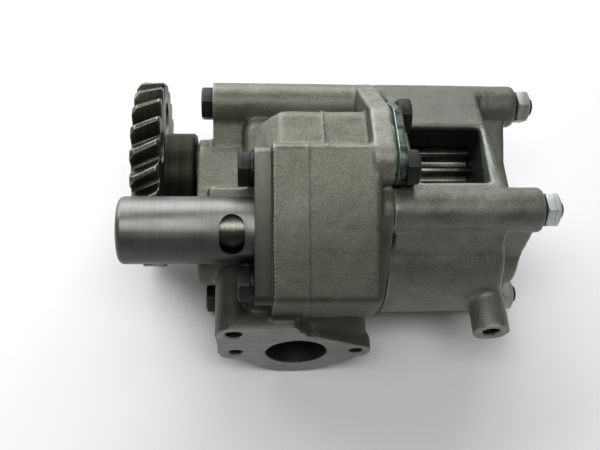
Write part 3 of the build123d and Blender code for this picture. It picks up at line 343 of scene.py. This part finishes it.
def spangled_zinc(name, dark, light, tint):
    """Old zinc plating: mottled in patches about 4 mm wide, with yellow-green passivation."""
    made, tree, shader, place = new_finish(name, 0.42, 0.9)
    patch = node(
        tree,
        "ShaderNodeTexNoise",
        {"Vector": place, "Scale": 240.0, "Detail": 4.0, "Roughness": 0.6},
    ).outputs["Fac"]
    body = node(
        tree, "ShaderNodeValToRGB", {"Fac": patch}, stops=((0.38, dark), (0.64, light))
    ).outputs["Color"]
    cloud = node(
        tree, "ShaderNodeTexNoise", {"Vector": place, "Scale": 70.0, "Detail": 3.0}
    ).outputs["Fac"]
    film = node(
        tree,
        "ShaderNodeMapRange",
        {"Value": cloud, "From Min": 0.45, "From Max": 0.65, "To Min": 0.0, "To Max": 0.55},
    ).outputs["Result"]
    tinted = node(
        tree,
        "ShaderNodeMix",
        {"Factor": film, 6: body, 7: colour(tint)},
        data_type="RGBA",
    ).outputs[2]
    tree.links.new(tinted, shader.inputs["Base Color"])
    normal = node(
        tree, "ShaderNodeBump", {"Height": patch, "Strength": 0.35, "Distance": 0.0004}
    ).outputs["Normal"]
    tree.links.new(normal, shader.inputs["Normal"])
    return made


# The last three numbers of each cast finish place its painted shade along Y and give its depth.
cast_front = blasted_cast_iron(
    "blasted_cast_iron_front", "#707263", "#828475", "#969789", "#bcbcae", 16, 60, 0.64
)
cast_rear = blasted_cast_iron(
    "blasted_cast_iron_rear", "#6e7265", "#818579", "#95998c", "#b3b5a8", 122, 72, 0.36
)
ground_cast = blasted_cast_iron(
    "linished_cast_iron", "#84867a", "#9a9c8f", "#adaea2", "#c6c7bb", 20, 70, 0.4
)
plate_iron = blasted_cast_iron(
    "sawn_oiled_plate", "#6a6c5c", "#7d8070", "#909283", "#909283", 14, 86, 0.94
)
milled_iron = machined_steel(
    "milled_cast_iron", "#7b807a", "#8f948d", 0.46, 1.6, axis=2, bump=0.04, metallic=0.75
)
# Near-black bore finish: oil in the bores, with painted shade darkening the holes and the
# window's recess.
bore_oil_and_shade = machined_steel("bored_iron_oil_and_painted_shade", "#141411", "#201f1b", 0.6, 1.0, metallic=0.2)
# Painted shade darkens the tube's side towards the mounting face.
ground_tube = machined_steel(
    "ground_steel_tube",
    "#787974",
    "#80817c",
    0.44,
    0.7,
    bump=0.01,
    oil_and_shade_depth=0.1,
    painted_shade=(23, 35, 0.7),
)
# Painted shade darkens the plunger's side towards the mounting face.
bright_plunger = machined_steel(
    "ground_bright_plunger", "#8b8c82", "#a0a196", 0.3, 0.6, bump=0.02, painted_shade=(34, 42, 0.8)
)
black_oxide = machined_steel(
    "black_oxide_steel", "#191a17", "#252621", 0.42, 1.5, metallic=0.5, oil_and_shade_depth=0.3
)
grey_nut = machined_steel(
    "phosphated_steel", "#9c9d93", "#b2b3a8", 0.42, 1.5, metallic=0.7, oil_and_shade_depth=0.25
)
zinc_nut = machined_steel(
    "zinc_plated_steel", "#c3cdca", "#dde5e2", 0.42, 1.5, metallic=0.6, oil_and_shade_depth=0.1
)
cover_zinc = spangled_zinc("old_zinc_plate", "#161b19", "#626d6a", "#4d5339")
gear_dark = machined_steel(
    "hobbed_dark_steel", "#484940", "#5a5b50", 0.46, 0.8, bump=0.04, oil_and_shade_depth=0.4
)
gear_oiled = machined_steel(
    "hobbed_oiled_steel", "#73766b", "#909388", 0.36, 0.8, bump=0.04, oil_and_shade_depth=0.5
)
shaft_steel = machined_steel("ground_shaft_steel", "#5b5a58", "#787775", 0.3, 0.7, bump=0.04)
turned_hub = machined_steel("oily_turned_steel", "#25251f", "#35352d", 0.5, 0.8, bump=0.04)
rubbed_black = machined_steel("rubbed_oxide_edge", "#3c3d38", "#5b5c55", 0.4, 1.5, oil_and_shade_depth=0.3)
rubbed_gear = machined_steel("rubbed_gear_edge", "#75766c", "#96978c", 0.36, 1.5, oil_and_shade_depth=0.3)
rubbed_zinc = machined_steel("rubbed_zinc_edge", "#8f9894", "#bcc4c0", 0.34, 1.5, oil_and_shade_depth=0.3)
bronze = machined_steel("bored_bronze", "#6f552f", "#9a7843", 0.35, 0.8)
spring_wire = machined_steel("oil_tempered_wire", "#2f2e2d", "#4a4948", 0.35, 0.8)
separator_iron = machined_steel("ground_cast_iron", "#5d5c58", "#7a7975", 0.35, 0.9)
gasket_green = machined_steel(
    "green_fibre_gasket", "#12301f", "#1f5234", 0.8, 1.2, metallic=0.0
)

finish_of = {
    "front_body": cast_front,
    "scavenge_body": cast_rear,
    "separator_plate": separator_iron,
    "front_bush": bronze,
    "rear_bush": bronze,
    "pressure_idler_bush": bronze,
    "scavenge_idler_bush": bronze,
    "pressure_drive_gear": gear_oiled,
    "pressure_idler_gear": gear_oiled,
    "scavenge_drive_gear": gear_oiled,
    "scavenge_idler_gear": gear_oiled,
    "drive_gear": gear_dark,
    "drive_shaft": shaft_steel,
    "idler_shaft": shaft_steel,
    "shaft_keys": shaft_steel,
    "thrust_washer": gear_dark,
    "near_stud": black_oxide,
    "through_bolts": black_oxide,
    "plate_screws": black_oxide,
    "plate_washers": black_oxide,
    "nut_washers": black_oxide,
    "gear_retaining_bolt": black_oxide,
    "gear_retaining_washer": black_oxide,
    "cover_screws": black_oxide,
    "through_nuts": grey_nut,
    "stud_nut": zinc_nut,
    "gallery_cover": cover_zinc,
    "valve_plate": plate_iron,
    "relief_valve_tube": ground_tube,
    "relief_valve_plunger": bright_plunger,
    "relief_valve_spring": spring_wire,
    "valve_gasket": gasket_green,
    "gallery_gasket": gasket_green,
}
for name, finish in finish_of.items():
    slots = nodes[name].data.materials
    for i in range(len(slots)):
        slots[i] = finish


# ---------------------------------------------------------------- sand-cast skins
MAIN = (101.7, 22.0)
IDLER = (53.7, 22.0)
TOP_BOLT = (130.9, 52.0)
BACK_BOLT = (131.7, -4.0)
NEAR_STUD = (51.4, 66.0)
BOTTOM_BOLT = (43.0, -20.0)
CAVITY_MM = 27.3
MESH_MM = 77.7
SUCTION_PORT = (25.4, MESH_MM)
RETURN_PORT = (75.1, MESH_MM)
PORT_SCREW_MM = 25
SMOOTHING_ROUNDS = 16
BORE_SPARE_MM = 0.6
FLAT_SPARE_MM = 0.35
SEAM_HALF_MM = 1.1


def places_and_normals(piece):
    """The faces' centres in millimetres and their normals, as arrays."""
    mesh = piece.data
    centres = np.empty(len(mesh.polygons) * 3)
    normals = np.empty(len(mesh.polygons) * 3)
    mesh.polygons.foreach_get("center", centres)
    mesh.polygons.foreach_get("normal", normals)
    return centres.reshape(-1, 3) * 1000, normals.reshape(-1, 3)


def near_bores(points, bores, spare):
    """True where a point lies on or in one of the bores (axis, centre, radius, start, end)."""
    found = np.zeros(len(points), bool)
    for axis, centre, radius, start, end in bores:
        others = [i for i in range(3) if i != axis]
        away = np.hypot(*(points[:, i] - c for i, c in zip(others, centre)))
        along = points[:, axis]
        found |= (away < radius + spare) & (along > start - spare) & (along < end + spare)
    return found


def blended_in(skin, axis, rings):
    """Joins a tapered cast shape to the skin: the hull of rings (x, y, z, radius) across an
    axis, in mm."""
    bpy.ops.object.select_all(action="DESELECT")
    for place, (x, y, z, radius) in enumerate(rings):
        if place:
            bpy.ops.object.mode_set(mode="EDIT")
        bpy.ops.mesh.primitive_circle_add(
            vertices=48,
            radius=radius / 1000,
            location=(x / 1000, y / 1000, z / 1000),
            rotation=[(0.0, math.pi / 2, 0.0), (math.pi / 2, 0.0, 0.0)][axis],
        )
        if place:
            bpy.ops.object.mode_set(mode="OBJECT")
    taper = bpy.context.object
    bpy.ops.object.mode_set(mode="EDIT")
    bpy.ops.mesh.select_all(action="SELECT")
    bpy.ops.mesh.convex_hull()
    bpy.ops.mesh.normals_make_consistent(inside=False)
    bpy.ops.object.mode_set(mode="OBJECT")
    bpy.ops.object.transform_apply(location=True, rotation=True, scale=True)
    taper.select_set(True)
    skin.select_set(True)
    bpy.context.view_layer.objects.active = skin
    bpy.ops.object.join()


def recut(skin, drillings):
    """Drills the bores again with clean walls, straight or tapered: (axis, centre, radius at
    the start, radius at the end, start, end), in mm."""
    turns = [(0.0, math.pi / 2, 0.0), (-math.pi / 2, 0.0, 0.0), (0.0, 0.0, 0.0)]
    cutters = []
    for axis, centre, mouth, radius, start, end in drillings:
        middle = [c / 1000 for c in centre]
        middle.insert(axis, (start + end) / 2000)
        bpy.ops.object.select_all(action="DESELECT")
        bpy.ops.mesh.primitive_cone_add(
            vertices=96,
            radius1=mouth / 1000,
            radius2=radius / 1000,
            depth=(end - start) / 1000,
            location=middle,
            rotation=turns[axis],
        )
        bpy.ops.object.transform_apply(location=True, rotation=True, scale=True)
        cutters.append(bpy.context.object)
    for cutter in cutters:
        apply_modifier(
            skin, "BOOLEAN", operation="DIFFERENCE", object=cutter, solver="MANIFOLD"
        )
        bpy.data.objects.remove(cutter)


def in_box(points, low, high):
    """True where a point lies between two corners."""
    return (points > np.array(low)).all(axis=1) & (points < np.array(high)).all(axis=1)


def cast_skin(
    source_name,
    name,
    flats,
    bores,
    seams,
    tapers,
    drillings,
    painted_shade_pockets,
    rims,
    cast,
    voxel_mm=0.95,
):
    """The casting with its sand-cast edges and corners softened, tapers blended in and a low
    parting seam, and its machined faces and bores left crisp."""
    skin = merged_copy(source_name, name)
    for axis, rings in tapers:
        blended_in(skin, axis, rings)
    apply_modifier(skin, "REMESH", mode="VOXEL", voxel_size=voxel_mm / 1000)
    points = np.empty(len(skin.data.vertices) * 3)
    skin.data.vertices.foreach_get("co", points)
    points = points.reshape(-1, 3) * 1000
    fixed = near_bores(points, bores, BORE_SPARE_MM)
    for axis, at in flats:
        fixed |= np.abs(points[:, axis] - at) < FLAT_SPARE_MM
    free = skin.vertex_groups.new(name="cast")
    free.add([int(i) for i in np.flatnonzero(~fixed)], 1.0, "REPLACE")
    apply_modifier(
        skin, "SMOOTH", factor=0.5, iterations=SMOOTHING_ROUNDS, vertex_group="cast"
    )
    sand = bpy.data.textures.new(name + "_relief", "CLOUDS")
    sand.noise_scale = 0.011
    apply_modifier(
        skin,
        "DISPLACE",
        texture=sand,
        strength=0.0005,
        mid_level=0.5,
        texture_coords="GLOBAL",
        vertex_group="cast",
    )
    for axis, at, low, high, height_mm in seams:
        seam = skin.vertex_groups.new(name="seam")
        away = np.abs(points[:, axis] - at)
        inside = in_box(points, low, high)
        for i in np.flatnonzero(~fixed & inside & (away < SEAM_HALF_MM)):
            seam.add([int(i)], float(1.0 - away[i] / SEAM_HALF_MM), "REPLACE")
        apply_modifier(
            skin, "DISPLACE", strength=height_mm / 1000, mid_level=0.0, vertex_group="seam"
        )
        skin.vertex_groups.remove(skin.vertex_groups["seam"])
    apply_modifier(skin, "DECIMATE", ratio=0.5)
    skin.vertex_groups.clear()
    recut(skin, drillings)
    skin.data.materials.clear()
    for finish in (cast, milled_iron, bore_oil_and_shade, ground_cast):
        skin.data.materials.append(finish)
    centres, normals = places_and_normals(skin)
    index = np.zeros(len(centres), int)
    for axis, at in flats:
        flat = (np.abs(centres[:, axis] - at) < 0.3) & (np.abs(normals[:, axis]) > 0.9)
        index[flat] = 1
    index[(index == 0) & near_bores(centres, bores, 0.5)] = 2
    mouths = near_bores(centres, [(*d[:3], *d[4:]) for d in drillings], 0.1)
    index[(index == 0) & mouths] = 1
    drilled = near_bores(centres, [(*d[:2], *d[3:]) for d in drillings], 0.1)
    index[drilled] = 2
    # Faces in the pockets get the near-black bore finish: painted shade in the window's recess.
    for low, high in painted_shade_pockets:
        index[in_box(centres, low, high)] = 2
    for low, high, axis, finish_index in rims:
        inside = in_box(centres, low, high)
        index[inside & (index == 0) & (normals[:, axis] > 0.8)] = finish_index
    skin.data.polygons.foreach_set("material_index", index.astype("int32"))
    select_only(skin)
    bpy.ops.object.shade_smooth_by_angle(angle=math.radians(40))
    for i in np.flatnonzero(drilled):
        skin.data.polygons[i].use_smooth = False
    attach(skin, "housing")
    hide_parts(source_name)
    return skin


bolt_bores = [
    (0, TOP_BOLT, 5.5, -60, 130),
    (0, BACK_BOLT, 5.5, -60, 112),
    (0, BOTTOM_BOLT, 5.5, -60, 127),
]
gear_bores = [(0, MAIN, 13.5, -54, 120), (0, IDLER, 10.0, -46, 114)]
front_bores = [
    *bolt_bores,
    *gear_bores,
    (0, MAIN, CAVITY_MM, 10.3, 46.5),
    (0, IDLER, CAVITY_MM, 10.3, 46.5),
    (1, (0.0, 0.0), 16.5, 0, 22),
    (1, (-34.0, 25.0), 4.25, 0, 18),
    (1, (-33.0, 0.0), 3.4, 0, 14),
    (1, (33.0, 0.0), 3.4, 0, 14),
    (2, SUCTION_PORT, 13.0, -32, -16),
    (2, SUCTION_PORT, 11.0, -16, 14),
    (2, (25.4, MESH_MM + PORT_SCREW_MM), 3.4, -32, -16),
    (2, (25.4, MESH_MM - PORT_SCREW_MM), 3.4, -32, -16),
]
rear_bores = [
    *bolt_bores,
    *gear_bores,
    (0, NEAR_STUD, 5.5, 46, 124),
    (0, MAIN, CAVITY_MM, 50.5, 99.7),
    (0, IDLER, CAVITY_MM, 50.5, 99.7),
    (1, (102.5, 25.0), 4.25, 0, 18),
    (2, RETURN_PORT, 13.0, -32, -16),
    (2, RETURN_PORT, 11.0, -16, 14),
    (2, (75.1, MESH_MM + PORT_SCREW_MM), 3.4, -32, -16),
    (2, (75.1, MESH_MM - PORT_SCREW_MM), 3.4, -32, -16),
]
front_flats = [(0, 46.5), (0, -54.0), (0, -45.8), (0, -44.0), (1, 0.0), (2, -32.0), (0, -14.7)]
rear_flats = [(0, 46.5), (0, 128.2), (0, 124.0), (0, 125.0), (0, 109.5), (1, 0.0), (2, -32.0)]
front_drillings = [
    (1, (0.0, 0.0), 16.56, 16.56, -1, 21.9),
    (1, (-34.0, 25.0), 4.3, 4.3, -1, 17.9),
    (1, (-34.0, 25.0), 5.9, 4.3, -0.4, 1.2),
    (1, (-33.0, 0.0), 3.45, 3.45, -1, 13.9),
    (1, (-33.0, 0.0), 4.8, 3.4, -0.4, 1.0),
    (1, (33.0, 0.0), 3.45, 3.45, -1, 13.9),
    (1, (33.0, 0.0), 4.8, 3.4, -0.4, 1.0),
    (2, SUCTION_PORT, 13.05, 13.05, -33, -16.1),
    (2, (25.4, MESH_MM + PORT_SCREW_MM), 3.45, 3.45, -33, -16.1),
    (2, (25.4, MESH_MM - PORT_SCREW_MM), 3.45, 3.45, -33, -16.1),
]
rear_drillings = [
    (1, (102.5, 25.0), 4.3, 4.3, -1, 17.9),
    (1, (102.5, 25.0), 5.9, 4.3, -0.4, 1.2),
    (2, RETURN_PORT, 13.05, 13.05, -33, -16.1),
    (2, (75.1, MESH_MM + PORT_SCREW_MM), 3.45, 3.45, -33, -16.1),
    (2, (75.1, MESH_MM - PORT_SCREW_MM), 3.45, 3.45, -33, -16.1),
]
cast_skin(
    "front_body",
    "front_casting",
    front_flats,
    front_bores,
    [(0, 2.0, (-1, -4, 30), (5, 80, 120), 0.6), (0, 12.0, (8, 70, 60), (16, 104, 110), 0.6)],
    [
        (1, [(0, 4.5, -4, 26.8), (31.5, 4.5, 0, 7.6), (3, 26, 12, 23.0), (25, 26, 19, 13.0)]),
        (1, [(-22, 8.0, 27, 6.0), (-5, 8.0, 27, 6.0), (-20, 22, 40, 8.0), (-7, 22, 40, 8.0)]),
    ],
    front_drillings,
    [],
    [((35.4, 56.0, 60.0), (46.2, 132.0, 100.0), 2, 3)],
    cast_front,
)
cast_skin(
    "scavenge_body",
    "scavenge_casting",
    rear_flats,
    rear_bores,
    [(1, 50.0, (55, 48, 50), (123, 52, 90), 0.2)],
    [
        (
            0,
            [
                (48, 50.6, 65, 9.5),
                (107, 50.6, 65, 9.5),
                (48, 39.4, 46.2, 8.2),
                (107, 39.4, 46.2, 8.2),
            ],
        ),
    ],
    rear_drillings,
    # The window's recess, painted dark as shade.
    [((59.5, 61.5, 20.0), (102.0, 104.0, 66.0))],
    [
        ((57.0, 60.4, 60.0), (103.0, 62.6, 80.0), 2, 1),
        ((100.8, 60.0, 40.0), (102.4, 104.0, 80.0), 2, 1),
    ],
    cast_rear,
)


# ---------------------------------------------------------------- machined pieces
def broken_edges(source_name, body, width_mm, edge_finish):
    """A machined piece with its sharp edges broken, as a file or a tumbler leaves them, and
    its finish rubbed through there."""
    piece = merged_copy(source_name, source_name + "_finished")
    piece.data.materials.append(edge_finish)
    bpy.ops.object.mode_set(mode="EDIT")
    bpy.ops.mesh.select_all(action="SELECT")
    bpy.ops.mesh.dissolve_limited(angle_limit=math.radians(1.5))
    bpy.ops.object.mode_set(mode="OBJECT")
    apply_modifier(
        piece,
        "BEVEL",
        width=width_mm / 1000,
        segments=2,
        limit_method="ANGLE",
        angle_limit=math.radians(35.0),
        material=len(piece.data.materials) - 1,
    )
    bpy.ops.object.shade_smooth_by_angle(angle=math.radians(38))
    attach(piece, body)
    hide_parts(source_name)
    return piece


for source_name, width_mm, edge_finish in (
    ("relief_valve_tube", 0.3, rubbed_zinc),
    ("valve_plate", 0.5, plate_iron),
    ("gallery_cover", 0.5, rubbed_zinc),
    ("through_bolts", 0.3, rubbed_black),
    ("through_nuts", 0.3, grey_nut),
    ("nut_washers", 0.25, rubbed_black),
    ("stud_nut", 0.3, zinc_nut),
    ("cover_screws", 0.3, rubbed_black),
    ("plate_screws", 0.3, rubbed_black),
    ("plate_washers", 0.25, rubbed_black),
):
    broken_edges(source_name, "housing", width_mm, edge_finish)
drive_gear = broken_edges("drive_gear", "drive_train", 0.45, rubbed_gear)
broken_edges("gear_retaining_bolt", "drive_train", 0.3, rubbed_black)
broken_edges("gear_retaining_washer", "drive_train", 0.3, rubbed_black)
broken_edges("scavenge_drive_gear", "drive_train", 0.3, rubbed_gear)
broken_edges("scavenge_idler_gear", "scavenge_idler", 0.3, rubbed_gear)

HUB_RADIUS_MM = 26.0
HUB_START_MM = -72.3
drive_gear.data.materials.append(turned_hub)
centres, normals = places_and_normals(drive_gear)
from_axis = np.hypot(centres[:, 1] - MAIN[0], centres[:, 2] - MAIN[1])
for i in np.flatnonzero((from_axis < HUB_RADIUS_MM) & (centres[:, 0] > HUB_START_MM)):
    drive_gear.data.polygons[i].material_index = len(drive_gear.data.materials) - 1


spring = merged_copy("relief_valve_spring", "relief_valve_spring_finished")
bpy.ops.object.shade_smooth_by_angle(angle=math.radians(65))
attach(spring, "housing")
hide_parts("relief_valve_spring")
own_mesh(spring)


# ---------------------------------------------------------------- threads of the bolt ends
HALF_PITCH_MM = 0.75
THREAD_RADIUS_MM = 5.1
THREAD_LENGTH_MM = 3.75
ROOT_SHARE = 0.86


def thread_end(name, end_x_mm, centre):
    """The rolled M10 thread standing out of a nut: 1.5 mm pitch, with a domed end."""
    start_mm = end_x_mm - THREAD_LENGTH_MM
    axis_y, axis_z = centre[0] / 1000, centre[1] / 1000
    bpy.ops.object.select_all(action="DESELECT")
    bpy.ops.mesh.primitive_cylinder_add(
        vertices=32,
        radius=THREAD_RADIUS_MM / 1000,
        depth=THREAD_LENGTH_MM / 1000,
        location=((end_x_mm - THREAD_LENGTH_MM / 2) / 1000, axis_y, axis_z),
        rotation=(0.0, math.pi / 2, 0.0),
    )
    piece = bpy.context.object
    piece.name = name
    bpy.ops.object.transform_apply(location=True, rotation=True, scale=True)
    bpy.ops.object.mode_set(mode="EDIT")
    for step in range(1, int(THREAD_LENGTH_MM / HALF_PITCH_MM)):
        bpy.ops.mesh.select_all(action="SELECT")
        bpy.ops.mesh.bisect(
            plane_co=((start_mm + step * HALF_PITCH_MM) / 1000, 0.0, 0.0),
            plane_no=(1.0, 0.0, 0.0),
        )
    bpy.ops.mesh.select_all(action="DESELECT")
    bpy.ops.object.mode_set(mode="OBJECT")
    for vertex in piece.data.vertices:
        vertex.select = round((vertex.co.x * 1000 - start_mm) / HALF_PITCH_MM) % 2 == 1
    bpy.ops.object.mode_set(mode="EDIT")
    bpy.ops.transform.resize(
        value=(1.0, ROOT_SHARE, ROOT_SHARE),
        center_override=(end_x_mm / 1000, axis_y, axis_z),
    )
    bpy.ops.mesh.select_all(action="DESELECT")
    bpy.ops.object.mode_set(mode="OBJECT")
    for face in piece.data.polygons:
        face.select = face.normal.x > 0.9 and face.center.x * 1000 > end_x_mm - 0.1
    bpy.ops.object.mode_set(mode="EDIT")
    bpy.ops.mesh.inset(thickness=0.0012)
    bpy.ops.transform.translate(value=(0.0007, 0.0, 0.0))
    bpy.ops.mesh.inset(thickness=0.0016)
    bpy.ops.transform.translate(value=(0.0003, 0.0, 0.0))
    bpy.ops.mesh.select_all(action="SELECT")
    bpy.ops.mesh.normals_make_consistent(inside=False)
    bpy.ops.object.mode_set(mode="OBJECT")
    bpy.ops.object.shade_smooth_by_angle(angle=math.radians(50))
    piece.data.materials.append(black_oxide)
    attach(piece, "housing")


thread_end("top_bolt_thread", 140.2, TOP_BOLT)
thread_end("back_bolt_thread", 121.5, BACK_BOLT)
thread_end("bottom_bolt_thread", 137.0, BOTTOM_BOLT)
thread_end("near_stud_thread", 136.0, NEAR_STUD)


# ---------------------------------------------------------------- floor, light and camera
def pale_floor():
    """A wide, plain, pale floor under the port faces."""
    bpy.ops.object.select_all(action="DESELECT")
    bpy.ops.mesh.primitive_plane_add(size=6.0, location=(0.0, 0.0, cad_box[0].z - 0.0002))
    floor = bpy.context.object
    floor.name = "floor"
    made = bpy.data.materials.new("matt_white_paper")
    made.use_nodes = True
    shader = made.node_tree.nodes["Principled BSDF"]
    shader.inputs["Base Color"].default_value = colour("#f4f4f4")
    shader.inputs["Roughness"].default_value = 0.9
    floor.data.materials.append(made)


def soft_lamp(name, place, aim, width, height, power, tint="#ffffff"):
    """A soft box aimed at a point."""
    lamp = bpy.data.lights.new(name, "AREA")
    lamp.shape = "RECTANGLE"
    lamp.size, lamp.size_y = width, height
    lamp.energy = power
    lamp.color = colour(tint)[:3]
    box = bpy.data.objects.new(name, lamp)
    bpy.context.collection.objects.link(box)
    box.location = place
    box.rotation_mode = "QUATERNION"
    box.rotation_quaternion = (Vector(aim) - Vector(place)).to_track_quat("-Z", "Y")


pale_floor()
soft_lamp("back_window", (-0.35, 1.15, 0.75), (0.0, 0.08, 0.03), 2.3, 1.1, 31.0, "#fbfcff")
soft_lamp("overhead_strip", (-0.05, -0.22, 1.25), (0.0, 0.06, 0.02), 1.1, 0.45, 7.0)
world = bpy.data.worlds.new("studio")
world.use_nodes = True
world.node_tree.nodes["Background"].inputs["Color"].default_value = colour("#ffffff")
world.node_tree.nodes["Background"].inputs["Strength"].default_value = 0.17
bpy.context.scene.world = world
bpy.context.scene.view_settings.view_transform = "Standard"

camera = bpy.data.objects.new("camera", bpy.data.cameras.new("camera"))
bpy.context.collection.objects.link(camera)
camera.data.sensor_width = 36.0
camera.data.lens = 44.4
camera.data.clip_start = 0.01
side = Vector((0.9968, -0.0416, 0.0686)).normalized()
back = Vector((-0.0802, -0.4984, 0.8632)).normalized()
side = (side - back * side.dot(back)).normalized()
up = back.cross(side)
turn = Matrix((side, up, back)).transposed().to_4x4()
camera.matrix_world = Matrix.Translation((-0.0304, -0.1424, 0.3864)) @ turn
bpy.context.scene.camera = camera
